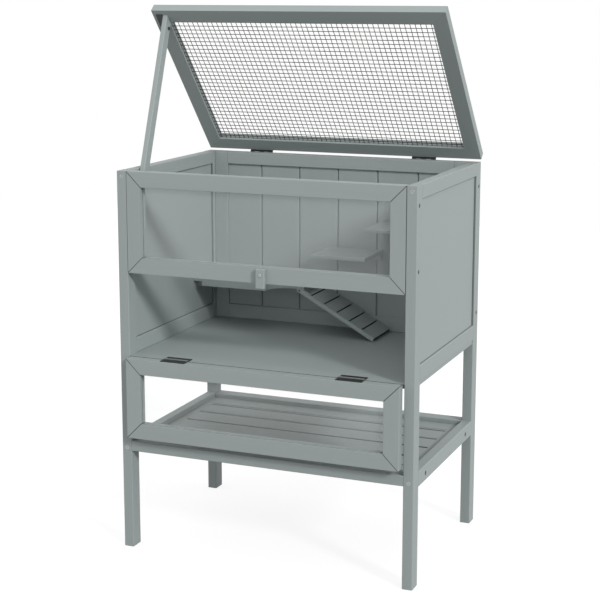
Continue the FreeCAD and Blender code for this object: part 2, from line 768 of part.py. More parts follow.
def lifted(name, *pieces):
    """Pieces of the lid turned from closed to the opening that the stay holds."""
    whole = group(name, list(pieces))
    whole.Placement = Placement(Vector(0, 0, 0), Rotation(Vector(1, 0, 0), -1))
    return bind(
        whole,
        y=f"{LID_AXIS_Y} - {LID_AXIS_Y} * cos(lid_angle) - {LID_AXIS_Z} * sin(lid_angle)",
        z=f"{LID_AXIS_Z} + {LID_AXIS_Y} * sin(lid_angle) - {LID_AXIS_Z} * cos(lid_angle)",
        turn="-lid_angle",
    )


node(lifted("lid_hinge_leaves", *lid_leaves), "lid_hinge_leaves")
LID_MEMBERS = {
    "lid_front_rail": ("width", 0, "-width / 2", LID_FRONT_Y),
    "lid_rail_right": (LID_DEEP, 90, "width / 2", LID_FRONT_Y),
    "lid_rear_rail": ("width", 180, "width / 2", "depth / 2"),
    "lid_rail_left": (LID_DEEP, -90, "-width / 2", "depth / 2"),
}
for name, (length, turn, x, y) in LID_MEMBERS.items():
    member = mitred_member(f"{name}_bar", f"({length})", "lid_rail_wide", "lid_thick", *LID_GROOVE)
    placed(member, Rotation(Vector(0, 0, 1), turn), x, y, LID_LOW)
    node(lifted(name, member), name)


def net_shape():
    """A flat sheet with a grid of square openings, its edges in the grooves of the closed lid."""
    wire = value("mesh_wire")
    low_z = value(LID_NET_LOW)
    inset = value("lid_rail_wide - lid_net_seat + joint_gap")
    left = value("-width / 2") + inset
    front = value(LID_FRONT_Y) + inset
    right = -left
    rear = value("depth / 2") - inset
    edge = value("lid_net_seat - joint_gap")
    pitch_x = (right - left - 2 * edge) / MESH_COLUMNS
    pitch_y = (rear - front - 2 * edge) / MESH_ROWS

    def rectangle(x0, y0, x1, y1):
        corners = [(x0, y0), (x1, y0), (x1, y1), (x0, y1), (x0, y0)]
        return Part.makePolygon([Vector(x, y, low_z) for x, y in corners])

    wires = [rectangle(left, front, right, rear)]
    for column in range(MESH_COLUMNS):
        for line in range(MESH_ROWS):
            x0 = left + edge + column * pitch_x + wire / 2
            y0 = front + edge + line * pitch_y + wire / 2
            wires.append(rectangle(x0, y0, x0 + pitch_x - wire, y0 + pitch_y - wire))
    return Part.Face(wires, "Part::FaceMakerBullseye").extrude(Vector(0, 0, value("mesh_thick")))


net = DOC.addObject("Part::Feature", "net_sheet")
net.Shape = net_shape()
node(lifted("lid_mesh", net), "lid_mesh")

# Prop stick, its bracket under the lid and the pin between them

STAY_AXIS_Y = f"({LID_FRONT_Y} + stay_axis_back)"
STAY_AXIS_Z = f"({LID_LOW} - stay_axis_drop)"
EAR_X = f"(-{INNER_X} + stay_side_gap)"
STAY_X = f"({EAR_X} + bracket_thick + joint_gap)"
STAY_FAR_X = f"({STAY_X} + stay_wide)"
ear = box("bracket_ear_plate", (EAR_X, f"{EAR_X} + bracket_thick"),
          around(STAY_AXIS_Y, "bracket_ear"), (f"{STAY_AXIS_Z} - bracket_ear", LID_LOW))
foot = box(
    "bracket_foot_plate",
    (f"{EAR_X} - bracket_foot", f"{EAR_X} + bracket_thick"),
    (f"{STAY_AXIS_Y} + bracket_ear - bracket_deep", f"{STAY_AXIS_Y} + bracket_ear"),
    (f"{LID_LOW} - bracket_thick", LID_LOW),
)
ear_bore = rod("bracket_bore", (f"{EAR_X} - {PAST}", STAY_AXIS_Y, STAY_AXIS_Z), "+x",
               "stay_pin_radius + pin_clearance", f"bracket_thick + 2 * {PAST}")
bracket = cut("bracket_closed", joined("bracket_whole", [ear, foot]), [ear_bore])
node(lifted("stay_bracket", bracket), "stay_bracket")

pin_shaft = rod("stay_pin_shaft", (EAR_X, STAY_AXIS_Y, STAY_AXIS_Z), "+x", "stay_pin_radius",
                f"{STAY_FAR_X} + joint_gap - {EAR_X}")
pin_head = rod("stay_pin_head", (f"{STAY_FAR_X} + joint_gap", STAY_AXIS_Y, STAY_AXIS_Z), "+x",
               "stay_pin_head_radius", "stay_pin_head_thick")
node(lifted("stay_pin", joined("stay_pin_closed", [pin_shaft, pin_head])), "stay_pin")

# The stick stands on its pin's centre line as origin, with Z up along the stick and Y to its rear
STAY_TIP_ANGLE = "(lid_angle - stay_angle)"
STAY_TIP_REACH = "(stay_axis_drop - stay_tip_gap)"
TIP_HALF = "(2 * stay_deep)"
stick_block = stick(
    "stay_block",
    ("0", "stay_wide"),
    ("stay_axis_in - stay_deep", "stay_axis_in"),
    ("-stay_reach", f"{STAY_TIP_REACH} + stay_deep"),
    "z",
)
tip_cutter = DOC.addObject("Part::Box", "stay_tip_cutter")
tip_cutter.Placement = Placement(Vector(0, 0, 0), Rotation(Vector(1, 0, 0), -1))
bind(
    tip_cutter,
    Length=f"stay_wide + 2 * {PAST}",
    Width=f"2 * {TIP_HALF}",
    Height=TIP_HALF,
    x=f"-({PAST})",
    y=f"{STAY_TIP_REACH} * sin({STAY_TIP_ANGLE}) - {TIP_HALF} * cos({STAY_TIP_ANGLE})",
    z=f"{STAY_TIP_REACH} * cos({STAY_TIP_ANGLE}) + {TIP_HALF} * sin({STAY_TIP_ANGLE})",
    turn=f"-{STAY_TIP_ANGLE}",
)
stay_bore = rod("stay_bore", (f"-({PAST})", "0", "0"), "+x", "stay_pin_radius + pin_clearance",
                f"stay_wide + 2 * {PAST}")
stay = cut("lid_stay", stick_block, [tip_cutter, stay_bore])
placed(
    stay,
    Rotation(Vector(1, 0, 0), -1),
    STAY_X,
    f"{LID_AXIS_Y} + ({STAY_AXIS_Y} - {LID_AXIS_Y}) * cos(lid_angle)"
    f" + ({STAY_AXIS_Z} - {LID_AXIS_Z}) * sin(lid_angle)",
    f"{LID_AXIS_Z} - ({STAY_AXIS_Y} - {LID_AXIS_Y}) * sin(lid_angle)"
    f" + ({STAY_AXIS_Z} - {LID_AXIS_Z}) * cos(lid_angle)",
    "-stay_angle",
)
node(stay, "lid_stay")

# Platform at the back left, with its battens

platform = DOC.addObject("PartDesign::Body", "platform_plank")
POST_CORNER = (f"(-{INNER_X} + joint_gap)", f"({INNER_Y} - joint_gap)")
platform_corners = [
    (f"-{PANEL_FACE_X}", FITTING_Y),
    (PLATFORM_END, FITTING_Y),
    (PLATFORM_END, BACK_FACE_Y),
    (POST_CORNER[0], BACK_FACE_Y),
    POST_CORNER,
    (f"-{PANEL_FACE_X}", POST_CORNER[1]),
]
pad(platform, "platform_pad", outline(platform, "platform_outline", platform_corners), "platform_thick")
notch_corners = [
    (f"-{PANEL_FACE_X} - {PAST}", f"{FITTING_Y} - {PAST}"),
    (f"-{PANEL_FACE_X} + platform_tongue_long", f"{FITTING_Y} - {PAST}"),
    (f"-{PANEL_FACE_X} + platform_tongue_long", f"{BACK_FACE_Y} + {PAST}"),
    (f"-{PANEL_FACE_X} - {PAST}", f"{BACK_FACE_Y} + {PAST}"),
]
notch = outline(platform, "platform_rebate_outline", notch_corners, "platform_thick - platform_tongue_thick")
pocket(platform, "platform_rebate", notch, "platform_thick - platform_tongue_thick")
bind(platform, z=PLATFORM_LOW)
SCALLOP_X = f"({PLATFORM_END} - scallop_end)"
scallop = rod("scallop", (SCALLOP_X, f"{FITTING_Y} + scallop_in", f"{PLATFORM_LOW} - {PAST}"), "+z",
              "scallop_radius", f"platform_thick + 2 * {PAST}")
node(cut("platform_scalloped", platform, [scallop]), "platform_board")

node(box(
    "platform_side_batten",
    (f"-{PANEL_FACE_X}", f"-{PANEL_FACE_X} + platform_tongue_long - joint_gap"),
    (f"{FITTING_Y} + batten_setback", POST_CORNER[1]),
    (f"{TONGUE_LOW} - batten_high", TONGUE_LOW),
), "platform_side_batten")
node(box(
    "platform_back_batten",
    (f"-{BACK_OPENING_X}", SCALLOP_X),
    (f"{BOARD_FACE_Y} - batten_thick", BOARD_FACE_Y),
    (f"{PLATFORM_LOW} - batten_high", PLATFORM_LOW),
), "platform_back_batten")

# Ramp, with the rod and block that carry its two prongs

RAMP_FAR_Y = f"({FITTING_Y} + ramp_wide)"
ramp_rod_bore = rod("ramp_block_bore", (RAMP_AXIS_X, FITTING_Y, RAMP_AXIS_Z), "+y",
                    "ramp_rod_radius + pin_clearance", "ramp_wide")
ramp_block = box(
    "ramp_block",
    (PLATFORM_END, f"{PLATFORM_END} + ramp_block_long"),
    (f"{FITTING_Y} + ramp_prong_wide + joint_gap", f"{RAMP_FAR_Y} - ramp_prong_wide - joint_gap"),
    (PLATFORM_LOW, f"{PLATFORM_LOW} + ramp_block_high"),
)
node(cut("ramp_hinge_block", ramp_block, [ramp_rod_bore]), "ramp_hinge_block")
node(rod("ramp_hinge_rod", (RAMP_AXIS_X, FITTING_Y, RAMP_AXIS_Z), "+y", "ramp_rod_radius", "ramp_wide"),
     "ramp_hinge_rod")

# The ramp's own origin is the rod's near end, with X down the slope
RAMP_LONG = (
    f"(({RAMP_AXIS_Z} - floor_top - ramp_rest_gap - ramp_thick / 2 * cos(ramp_angle)) / sin(ramp_angle))"
)
RAMP_Z = ("-ramp_thick / 2", "ramp_thick / 2")
ramp_pieces = [box("ramp_plank", ("ramp_notch_long", RAMP_LONG), ("0", "ramp_wide"), RAMP_Z)]
for side_name, y in (("near", "0"), ("far", "ramp_wide - ramp_prong_wide")):
    prong_y = (y, f"{y} + ramp_prong_wide")
    ramp_pieces.append(box(f"prong_{side_name}", ("0", f"ramp_notch_long + {PAST}"), prong_y, RAMP_Z))
    ramp_pieces.append(rod(f"prong_{side_name}_end", ("0", y, "0"), "+y", "ramp_thick / 2",
                           "ramp_prong_wide"))
ramp_tools = [rod("ramp_bore", ("0", f"-({PAST})", "0"), "+y", "ramp_rod_radius + pin_clearance",
                  f"ramp_wide + 2 * {PAST}")]
for index in range(RAMP_SLOTS):
    middle = f"(ramp_slot_first + {index} * ramp_slot_pitch)"
    ramp_tools.append(box(
        f"ramp_slot_{index}",
        around(middle, "ramp_slot_wide / 2"),
        ("ramp_slot_border", f"ramp_wide + {PAST}"),
        ("ramp_thick / 2 - ramp_slot_deep", f"ramp_thick / 2 + {PAST}"),
    ))
ramp = cut("ramp", joined("ramp_whole", ramp_pieces), ramp_tools)
placed(ramp, Rotation(Vector(0, 1, 0), 1), RAMP_AXIS_X, FITTING_Y, RAMP_AXIS_Z, "ramp_angle")
node(ramp, "ramp")

# Steps on the back wall, with their battens and screws

step_battens = []
step_screws = []
STEP_HIGH_X = f"({BACK_OPENING_X} - step_end - step_wide)"
STEPS = {
    "step_lower": (f"({STEP_HIGH_X} + step_overlap - step_wide)", "(floor_top + step_low_up)"),
    "step_upper": (STEP_HIGH_X, "(floor_top + step_high_up)"),
}
for name, (left, low) in STEPS.items():
    batten = box(
        f"{name}_batten",
        (f"{left} + joint_gap", f"{left} + step_wide - joint_gap"),
        (f"{BOARD_FACE_Y} - batten_thick", BOARD_FACE_Y),
        (f"{low} - step_batten_high", low),
    )
    holes = []
    for spot, x in (("left", f"{left} + step_screw_in"), ("right", f"{left} + step_wide - step_screw_in")):
        head = (x, f"{BOARD_FACE_Y} - batten_thick / 2", f"{low} + step_thick + screw_proud")
        screw, hole = fastener(f"{name}_screw_{spot}", head, "-z", "step_screw_long", "screw")
        step_screws.append(screw)
        holes.append(hole)
    step_battens.append(cut(f"{name}_batten_bored", batten, holes))
    step = stick(f"{name}_board", (left, f"{left} + step_wide"), (FITTING_Y, BOARD_FACE_Y),
                 (low, f"{low} + step_thick"), "x")
    node(cut(name, step, holes), name)
node(group("step_battens", step_battens), "step_battens")
node(group("step_screws", step_screws), "step_screws")

# Storage shelf between the legs

SHELF_OPEN_X = f"({INNER_X} - shelf_batten_wide)"
SHELF_FRONT_LOW = "(shelf_rail_low + shelf_front_up)"
TONGUE_MID_Z = f"({SHELF_TOP} - slat_thick / 2)"
shelf_battens = []
for side, side_name in SIDES:
    rail = stick(f"shelf_{side_name}_stick", aside(side, INNER_X, "width / 2"),
                 (f"-{INNER_Y}", INNER_Y), ("shelf_rail_low", "shelf_rail_low + shelf_rail_high"), "y")
    node(cut(f"shelf_rail_{side_name}", rail, bored("shelf_side", side_name)), f"shelf_rail_{side_name}")
    batten = box(f"shelf_batten_{side_name}_block", aside(side, SHELF_OPEN_X, INNER_X),
                 (f"-{INNER_Y}", INNER_Y), ("shelf_rail_low", SHELF_TOP))
    groove = box(
        f"shelf_batten_{side_name}_groove",
        aside(side, f"{SHELF_OPEN_X} - {PAST}", f"{SHELF_OPEN_X} + slat_tongue_long + groove_gap"),
        (f"-{INNER_Y} - {PAST}", f"{INNER_Y} + {PAST}"),
        around(TONGUE_MID_Z, "slat_tongue_thick / 2 + groove_gap"),
    )
    shelf_battens.append(cut(f"shelf_batten_{side_name}", batten,
                             [groove] + bored("shelf_batten", side_name)))
node(group("shelf_end_battens", shelf_battens), "shelf_end_battens")

for end, end_name in ENDS:
    rail = stick(f"shelf_{end_name}_stick", (f"-{INNER_X}", INNER_X), aside(end, INNER_Y, "depth / 2"),
                 (SHELF_FRONT_LOW, f"{SHELF_FRONT_LOW} + shelf_front_high"), "x")
    node(cut(f"shelf_rail_{end_name}", rail, bored("shelf_front", end_name)), f"shelf_rail_{end_name}")

slats = []
for index in range(SLATS):
    pitch = "(slat_wide + slat_gap)"
    low = f"({index} - {SLATS} / 2) * {pitch} + slat_gap / 2" if index else f"-{INNER_Y}"
    high = f"({index + 1} - {SLATS} / 2) * {pitch} - slat_gap / 2" if index < SLATS - 1 else INNER_Y
    plank = stick(f"slat_{index}_plank", (f"-{SHELF_OPEN_X}", SHELF_OPEN_X), (low, high),
                  (f"{SHELF_TOP} - slat_thick", SHELF_TOP), "x")
    tongue_x = f"({SHELF_OPEN_X} + slat_tongue_long)"
    tongue = box(f"slat_{index}_tongue", (f"-{tongue_x}", tongue_x),
                 (f"{low} + edge_ease", f"{high} - edge_ease"),
                 around(TONGUE_MID_Z, "slat_tongue_thick / 2"))
    slats.append(joined(f"slat_{index}", [plank, tongue]))
node(group("shelf_slats", slats), "shelf_slats")

# Turn button under the middle of the window

button_block = box("button_block", ("-button_wide / 2", "button_wide / 2"),
                   (BUTTON_FACE_Y, "-depth / 2 - button_gap"), (f"{BUTTON_TOP} - button_high", BUTTON_TOP))
button = eased("button_eased", button_block, range(1, 13), "edge_ease")
button_bore = rod("button_bore", ("0", f"{BUTTON_FACE_Y} - {PAST}", BUTTON_AXIS_Z), "+y",
                  "screw_radius + pin_clearance", f"button_thick + 2 * {PAST}")
node(cut("turn_button", button, [button_bore]), "turn_button")

DOC.recompute()

for thing in DOC.Objects:
    if "Invalid" in thing.State or "Error" in thing.State:
        raise RuntimeError(f"{thing.Name} did not compute: {thing.State}")
for piece in NODES:
    if piece.Shape.isNull() or not piece.Shape.isValid() or not piece.Shape.Solids:
        raise RuntimeError(f"{piece.Label} is not a valid solid")

os.makedirs("parts", exist_ok=True)
for piece in NODES:
    piece.Shape.exportStep(f"parts/{piece.Label}.step")
print(f"{len(NODES)} pieces written")
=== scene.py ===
"""Looks of the wooden hamster cage: painted timber with softened edges, clear panes,
wire netting, black hinges, screw heads, and a pale studio around it."""

import json
import math

import bmesh
import bpy
import numpy as np
from bpy.props import FloatProperty, FloatVectorProperty, IntProperty, PointerProperty
from mathutils import Matrix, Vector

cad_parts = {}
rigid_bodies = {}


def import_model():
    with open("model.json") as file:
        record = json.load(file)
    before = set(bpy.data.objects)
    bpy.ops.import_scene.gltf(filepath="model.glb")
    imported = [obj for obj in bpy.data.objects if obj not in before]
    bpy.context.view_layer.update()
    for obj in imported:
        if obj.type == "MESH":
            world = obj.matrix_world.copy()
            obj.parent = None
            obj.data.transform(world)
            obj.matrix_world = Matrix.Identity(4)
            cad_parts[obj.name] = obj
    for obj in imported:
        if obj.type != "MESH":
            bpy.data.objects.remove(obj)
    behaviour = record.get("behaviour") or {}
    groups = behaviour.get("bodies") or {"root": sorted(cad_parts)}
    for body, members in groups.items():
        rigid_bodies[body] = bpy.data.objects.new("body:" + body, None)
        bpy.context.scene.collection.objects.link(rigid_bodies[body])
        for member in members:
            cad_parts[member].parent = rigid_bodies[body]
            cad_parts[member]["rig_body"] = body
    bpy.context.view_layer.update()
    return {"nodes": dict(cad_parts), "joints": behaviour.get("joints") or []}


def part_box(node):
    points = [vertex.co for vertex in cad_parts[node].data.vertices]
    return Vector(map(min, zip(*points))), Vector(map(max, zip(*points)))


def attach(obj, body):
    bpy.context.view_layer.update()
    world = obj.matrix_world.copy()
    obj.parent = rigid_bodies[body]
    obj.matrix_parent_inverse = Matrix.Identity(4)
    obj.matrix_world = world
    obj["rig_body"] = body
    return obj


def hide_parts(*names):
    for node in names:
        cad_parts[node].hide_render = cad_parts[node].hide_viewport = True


bl_info = {
    "name": "Wooden Hamster Cage",
    "version": (1, 0, 0),
    "blender": (4, 5, 0),
    "location": "3D View > Sidebar > Hamster Cage",
    "description": "Dresses a wooden hamster cage and sets it in a pale studio",
    "category": "Object",
}

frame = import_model()
JOINTS = {joint["name"]: joint for joint in frame["joints"]}

# Sizes that the frame gives
LID_AXIS = np.array(JOINTS["lid_hinge"]["pos_m"])
DOOR_AXIS = np.array(JOINTS["door_hinge"]["pos_m"])
LID_OPEN = math.radians(JOINTS["lid_hinge"]["range_deg"][1])

# Sizes that the frame doesn't give, in metres and radians
RAMP_SLOPE = math.radians(29)
STAY_LEAN = math.radians(20)
SLATS, SLAT_GAP = 6, 0.004

# A screw's rim lies further out than this share of its widest, and its tip within this of its end
RIM_SHARE, TIP_REACH = 0.95, 0.0001
# Corners nearer to each other than this are one
MERGE_GAP = 0.000002
# Shift of the paint's pattern from one loose part to the next, and for each letter of a name
PART_STEP, LETTER_STEP = 0.618, 0.137

# The netting's wires: their sides and rings, and how far each of the two layers lies from the
# middle, as a share of a wire's radius. NEXT_BOW shifts each wire's bow against the one before
WIRE_SIDES, WIRE_RINGS = 6, 17
LAYER_SHARE = 0.85
NEXT_BOW = 2.4

# Domes of the heads, and how much wider than the solids the side screws' heads are
DOMES = {"bolt": 0.0006, "screw": 0.0004, "button": 0.0012}
SIDE_SCREW_WIDER = 1.6
# Length and depth of a head's cross recess, as shares of the head's radius
RECESS_LONG, RECESS_DEEP = 0.52, 0.3
# Turn of the first screw's recess, and how much further each next one is turned
FIRST_SPIN, NEXT_SPIN = 0.9, 2.4

# The hinge leaves' screws: how far a row reaches from the leaf's middle, their two distances from
# the hinge line, how far they are sunk, and where the leaves' middles are
LEAF_SCREW_SPREAD = 0.018
LEAF_SCREW_DEPTHS = (0.0075, 0.0125)
LEAF_SCREW_SUNK = 0.00008
LEAF_MIDDLES = {"lid": 0.18, "door": 0.179}
LEAF_HEAD = {"thick": 0.0004, "dome": 0.00008, "shank": 0.0006, "length": 0.0012}
LEAF_RECESS_LONG, LEAF_RECESS_DEEP = 0.55, 0.0003

# Lengths of the patterns along and across the grain, or the same all ways
FINE_GRAIN = (0.14, 0.0022, 0.0022)
BROAD_GRAIN = (0.45, 0.022, 0.022)
HAZE = (0.09, 0.09, 0.05)
WEAR = (0.012, 0.009, 0.009)
SPECK, PEEL, TURNING, SPANGLE = 0.0011, 0.0008, 0.0009, 0.004

# A painted shade line in a joint's gap or groove: where it is still full and where it has faded
# out, both from the joint's edge, and how dark it is
GAP_SHADE_LINES = {
    "mitre": (0.0007, 0.0013, 1),
    "post": (0.0005, 0.0009, 1),
    "board": (-0.0012, -0.0002, 0.45),
    "panel_side": (0.001, 0.0016, 1),
    "panel_end": (0.001, 0.0016, 0.8),
    "door": (0.0006, 0.0012, 1),
    "floor": (0.0005, 0.001, 1),
    "slat": (0.0008, 0.0014, 1),
    "stile": (0.0004, 0.0008, 0.3),
    "corner": (0.0004, 0.0008, 0.55),
}
# How far inside the ramp's underside, top and long edges the painted shade on its slots' walls
# begins, and over how long it fades in
SLOT_UNDER, SLOT_TOP, SLOT_SIDE, SLOT_FADE = 0.0004, 0.0002, 0.001, 0.0004

# Camera, key light and floor
PHOTO_SPOT = (1.093, -2.672, 1.089)
PHOTO_SHIFT = -0.06
KEY_WAY = (0.749, -0.468, 0.468)
FLOOR_HALF, FLOOR_CELLS = 4, 8
FLOOR_GLOW, FLOOR_SHADE = 0.84, 0.2

# The way that a timber's grain runs, as the turn that takes the X axis to it
GRAINS = {
    "across": (0, 0, 0),
    "deep": (0, 0, math.pi / 2),
    "upright": (0, -math.pi / 2, 0),
    "lid_side": (0, LID_OPEN, math.pi / 2),
    "stay": (0, STAY_LEAN - math.pi / 2, math.pi / 2),
    "ramp": (0, RAMP_SLOPE, 0),
}

POSTS = {
    "post_front_left": "upright",
    "post_front_right": "upright",
    "post_rear_left": "upright",
    "post_rear_right": "upright",
}
SIDE_WALLS = {
    "wall_top_rail_left": "deep",
    "wall_top_rail_right": "deep",
    "wall_bottom_rail_left": "deep",
    "wall_bottom_rail_right": "deep",
    "wall_panel_left": "upright",
    "wall_panel_right": "upright",
}
BACK_WALL = {
    "back_stile_left": "upright",
    "back_stile_right": "upright",
    "back_top_rail": "across",
    "back_bottom_rail": "across",
    "back_boards": "upright",
}
WINDOW = {
    "window_top_rail": "across",
    "window_bottom_rail": "across",
    "window_stile_left": "upright",
    "window_stile_right": "upright",
    "turn_button": "upright",
}
DOOR = {
    "door_hinge_rail": "across",
    "door_free_rail": "across",
    "door_stile_left": "upright",
    "door_stile_right": "upright",
}
LID = {
    "lid_front_rail": "across",
    "lid_rear_rail": "across",
    "lid_rail_left": "lid_side",
    "lid_rail_right": "lid_side",
    "lid_stay": "stay",
}
INSIDE = {
    "floor_board": "across",
    "platform_board": "across",
    "platform_side_batten": "deep",
    "platform_back_batten": "across",
    "ramp": "ramp",
    "ramp_hinge_block": "deep",
    "step_lower": "across",
    "step_upper": "across",
    "step_battens": "across",
}
SHELF = {
    "shelf_rail_front": "across",
    "shelf_rail_rear": "across",
    "shelf_rail_left": "deep",
    "shelf_rail_right": "deep",
    "shelf_end_battens": "deep",
    "shelf_slats": "across",
    "rail_dowels": "deep",
}
BLACK_PLATES = ("cabinet_hinge_leaves", "lid_hinge_leaves", "door_hinge_leaves", "stay_bracket")


class CageFinish(bpy.types.PropertyGroup):
    """Colours and surface of the cage's finishes."""

    paint: FloatVectorProperty(
        name="Paint", description="Grey-green paint on all timber", subtype="COLOR",
        size=3, min=0, max=1, default=(0.286, 0.326, 0.321))
    paint_roughness: FloatProperty(
        name="Paint roughness", description="How matt the paint is", min=0, max=1, default=0.58)
    grain: FloatProperty(
        name="Grain", description="Difference in tone between light and dark grain",
        subtype="FACTOR", min=0, max=0.5, default=0.07)
    # Tone of the painted shade in the joints' gaps and grooves, as a share of the paint
    gap_shade_tone: FloatProperty(
        name="Joint tone", description="Tone of the dark joint lines, as a share of the paint",
        subtype="FACTOR", min=0, max=1, default=0.22)
    black: FloatVectorProperty(
        name="Black", description="Coating of the hinges and of the stay's bracket",
        subtype="COLOR", size=3, min=0, max=1, default=(0.016, 0.017, 0.018))
    steel: FloatVectorProperty(
        name="Steel", description="Plated screws and bolts", subtype="COLOR",
        size=3, min=0, max=1, default=(0.4, 0.42, 0.41))
    # Lighter colour painted on the door's hinge barrels: a painted highlight
    barrel_highlight: FloatVectorProperty(
        name="Bare steel", description="Hinge barrels whose coating is rubbed off",
        subtype="COLOR", size=3, min=0, max=1, default=(0.15, 0.165, 0.16))
    # Dark steel of the screws in the posts' outer sides, the shelf's bolts, the stay's pin and the
    # ramp's rod
    dark_steel: FloatVectorProperty(
        name="Dark steel", description="Burnished screws in the outer sides of the posts",
        subtype="COLOR", size=3, min=0, max=1, default=(0.05, 0.052, 0.055))
    wire: FloatVectorProperty(
        name="Wire", description="Wire of the lid's netting", subtype="COLOR",
        size=3, min=0, max=1, default=(0.022, 0.024, 0.024))


class CageSizes(bpy.types.PropertyGroup):
    """Sizes of the details."""

    timber_edge: FloatProperty(
        name="Timber edge", description="How far a timber's edges are sanded round",
        unit="LENGTH", min=0.0001, max=0.003, default=0.0007)
    board_edge: FloatProperty(
        name="Board edge", description="How far the edges of thin boards are sanded round",
        unit="LENGTH", min=0.0001, max=0.002, default=0.0004)
    plate_edge: FloatProperty(
        name="Plate edge", description="How far the edges of the hinge plates are rounded",
        unit="LENGTH", min=0.00005, max=0.001, default=0.0002)
    wire_thick: FloatProperty(
        name="Wire", description="Thickness of the netting's wire",
        unit="LENGTH", min=0.0003, max=0.003, default=0.0014)
    wire_pitch: FloatProperty(
        name="Wire pitch", description="Distance between two wires of the netting",
        unit="LENGTH", min=0.004, max=0.05, default=0.0104)
    wire_bow: FloatProperty(
        name="Wire bow", description="How far a wire strays from a straight line",
        unit="LENGTH", min=0, max=0.002, default=0.00015)
    leaf_screw: FloatProperty(
        name="Hinge screw", description="Radius of a hinge screw's head",
        unit="LENGTH", min=0.001, max=0.004, default=0.0027)
    leaf_screws: IntProperty(
        name="Screws in a leaf", description="How many screws hold one hinge leaf",
        min=2, max=4, default=3)


class CageStudio(bpy.types.PropertyGroup):
    """Light and camera."""

    key: FloatProperty(
        name="Key light", description="Strength of the key light", min=0, max=20, default=1.85)
    softness: FloatProperty(
        name="Softness", description="Angle that the key light fills in the sky",
        subtype="ANGLE", min=0, max=1, default=math.radians(9))
    sky: FloatProperty(
        name="Sky", description="Strength of the even light from all round",
        min=0, max=5, default=0.97)
    floor_bounce: FloatProperty(
        name="Floor bounce", description="Share of light that the floor throws back up",
        subtype="FACTOR", min=0, max=1, default=0.2)
    lens: FloatProperty(
        name="Lens", description="Focal length of the camera", min=20, max=300, default=89.22)
    camera_turn: FloatProperty(
        name="Camera turn", description="How far the camera turns about the upright axis",
        subtype="ANGLE", default=math.radians(22.38))
    camera_tilt: FloatProperty(
        name="Camera tilt", description="How far the camera looks down",
        subtype="ANGLE", default=math.radians(10.464))


# Meshes


def place_piece(name, points, faces, body, slot, material):
    """Makes a mesh piece of points and faces, dresses it and lets it ride on a body."""
    mesh = bpy.data.meshes.new(name)
    mesh.from_pydata(np.asarray(points, float).tolist(), [], faces)
    mesh.polygons.foreach_set("use_smooth", [True] * len(mesh.polygons))
    mesh.materials.append(material)
    mesh.update()
    thing = bpy.data.objects.new(name, mesh)
    bpy.context.scene.collection.objects.link(thing)
    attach(thing, body)
    return thing


def points_of(mesh):
    """A mesh's corner points as rows."""
    points = np.empty(len(mesh.vertices) * 3)
    mesh.vertices.foreach_get("co", points)
    return points.reshape(-1, 3)


def loose_parts(mesh):
    """A number for each vertex, the same all over one loose part and counting from 0.

    Each vertex takes the lowest number among its neighbours along the edges, until none changes.
    """
    ends = np.empty(len(mesh.edges) * 2, int)
    mesh.edges.foreach_get("vertices", ends)
    first, second = ends.reshape(-1, 2).T
    label = np.arange(len(mesh.vertices))
    while True:
        lowest = np.minimum(label[first], label[second])
        spread = label.copy()
        np.minimum.at(spread, first, lowest)
        np.minimum.at(spread, second, lowest)
        spread = spread[spread]
        if np.array_equal(spread, label):
            break
        label = spread
    return np.unique(label, return_inverse=True)[1]


def whole_faces(node):
    """Points and faces of a node's copy, its triangles merged and its flat faces made whole."""
    work = bmesh.new()
    work.from_mesh(frame["nodes"][node].data)
    bmesh.ops.remove_doubles(work, verts=work.verts, dist=MERGE_GAP)
    bmesh.ops.dissolve_degenerate(work, dist=MERGE_GAP, edges=work.edges)
    bmesh.ops.dissolve_limit(work, angle_limit=math.radians(0.3), verts=work.verts,
                             edges=work.edges)
    work.verts.index_update()
    points = [corner.co[:] for corner in work.verts]
    faces = [[corner.index for corner in face.verts] for face in work.faces]
    work.free()
    return points, faces


def softened(node, material, edge):
    """Replaces a node by its own shape with its sharp edges rounded off.

    Each loose part gets a number from 0 to 1 of its own, which shifts and tones its paint.
    """
    source = frame["nodes"][node]
    points, faces = whole_faces(node)
    slot = source.data.materials[0].name
    thing = place_piece(f"{node}_soft", points, faces, source["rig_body"], slot, material)
    part = loose_parts(thing.data)
    member = np.modf(part * PART_STEP + sum(node.encode()) * LETTER_STEP)[0]
    own = thing.data.attributes.new("member", "FLOAT", "POINT")
    own.data.foreach_set("value", member.astype(np.float32))
    bevel = thing.modifiers.new("rounded", "BEVEL")
    bevel.width = edge
    bevel.segments = 2
    bevel.limit_method = "ANGLE"
    bevel.angle_limit = math.radians(35)
    bevel.harden_normals = True
    bevel.miter_outer = "MITER_ARC"
    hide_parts(node)
    return thing


def turned(profile, segments, dent):
    """A round solid about Z, as points and faces.

    Point = (r cos t, r sin t, h - dent(x, y)) for each profile row (r, h, share of the dent)
    and each angle t. The profile's first and last rows lie on the axis and are single points.
    """
    radius, height, share = np.array(profile, float).T
    angle = np.arange(segments) * 2 * math.pi / segments
    x = np.outer(radius[1:-1], np.cos(angle))
    y = np.outer(radius[1:-1], np.sin(angle))
    z = np.outer(height[1:-1], np.ones(segments)) - dent(x, y) * share[1:-1, None]
    drop = float(dent(np.zeros(1), np.zeros(1))[0]) * share[0]
    rows = len(radius) - 2
    rings = np.stack([x, y, z], -1).reshape(-1, 3)
    points = np.vstack([rings, [(0, 0, height[0] - drop), (0, 0, height[-1])]])
    row, column = np.meshgrid(np.arange(rows - 1), np.arange(segments), indexing="ij")
    after = (column + 1) % segments
    quads = np.stack([row * segments + column, (row + 1) * segments + column,
                      (row + 1) * segments + after, row * segments + after], -1).reshape(-1, 4)
    around = np.arange(segments)
    following = (around + 1) % segments
    low = (rows - 1) * segments
    top = np.stack([np.full(segments, rows * segments), around, following], -1)
    bottom = np.stack([np.full(segments, rows * segments + 1), low + following, low + around], -1)
    return points, quads.tolist() + top.tolist() + bottom.tolist()


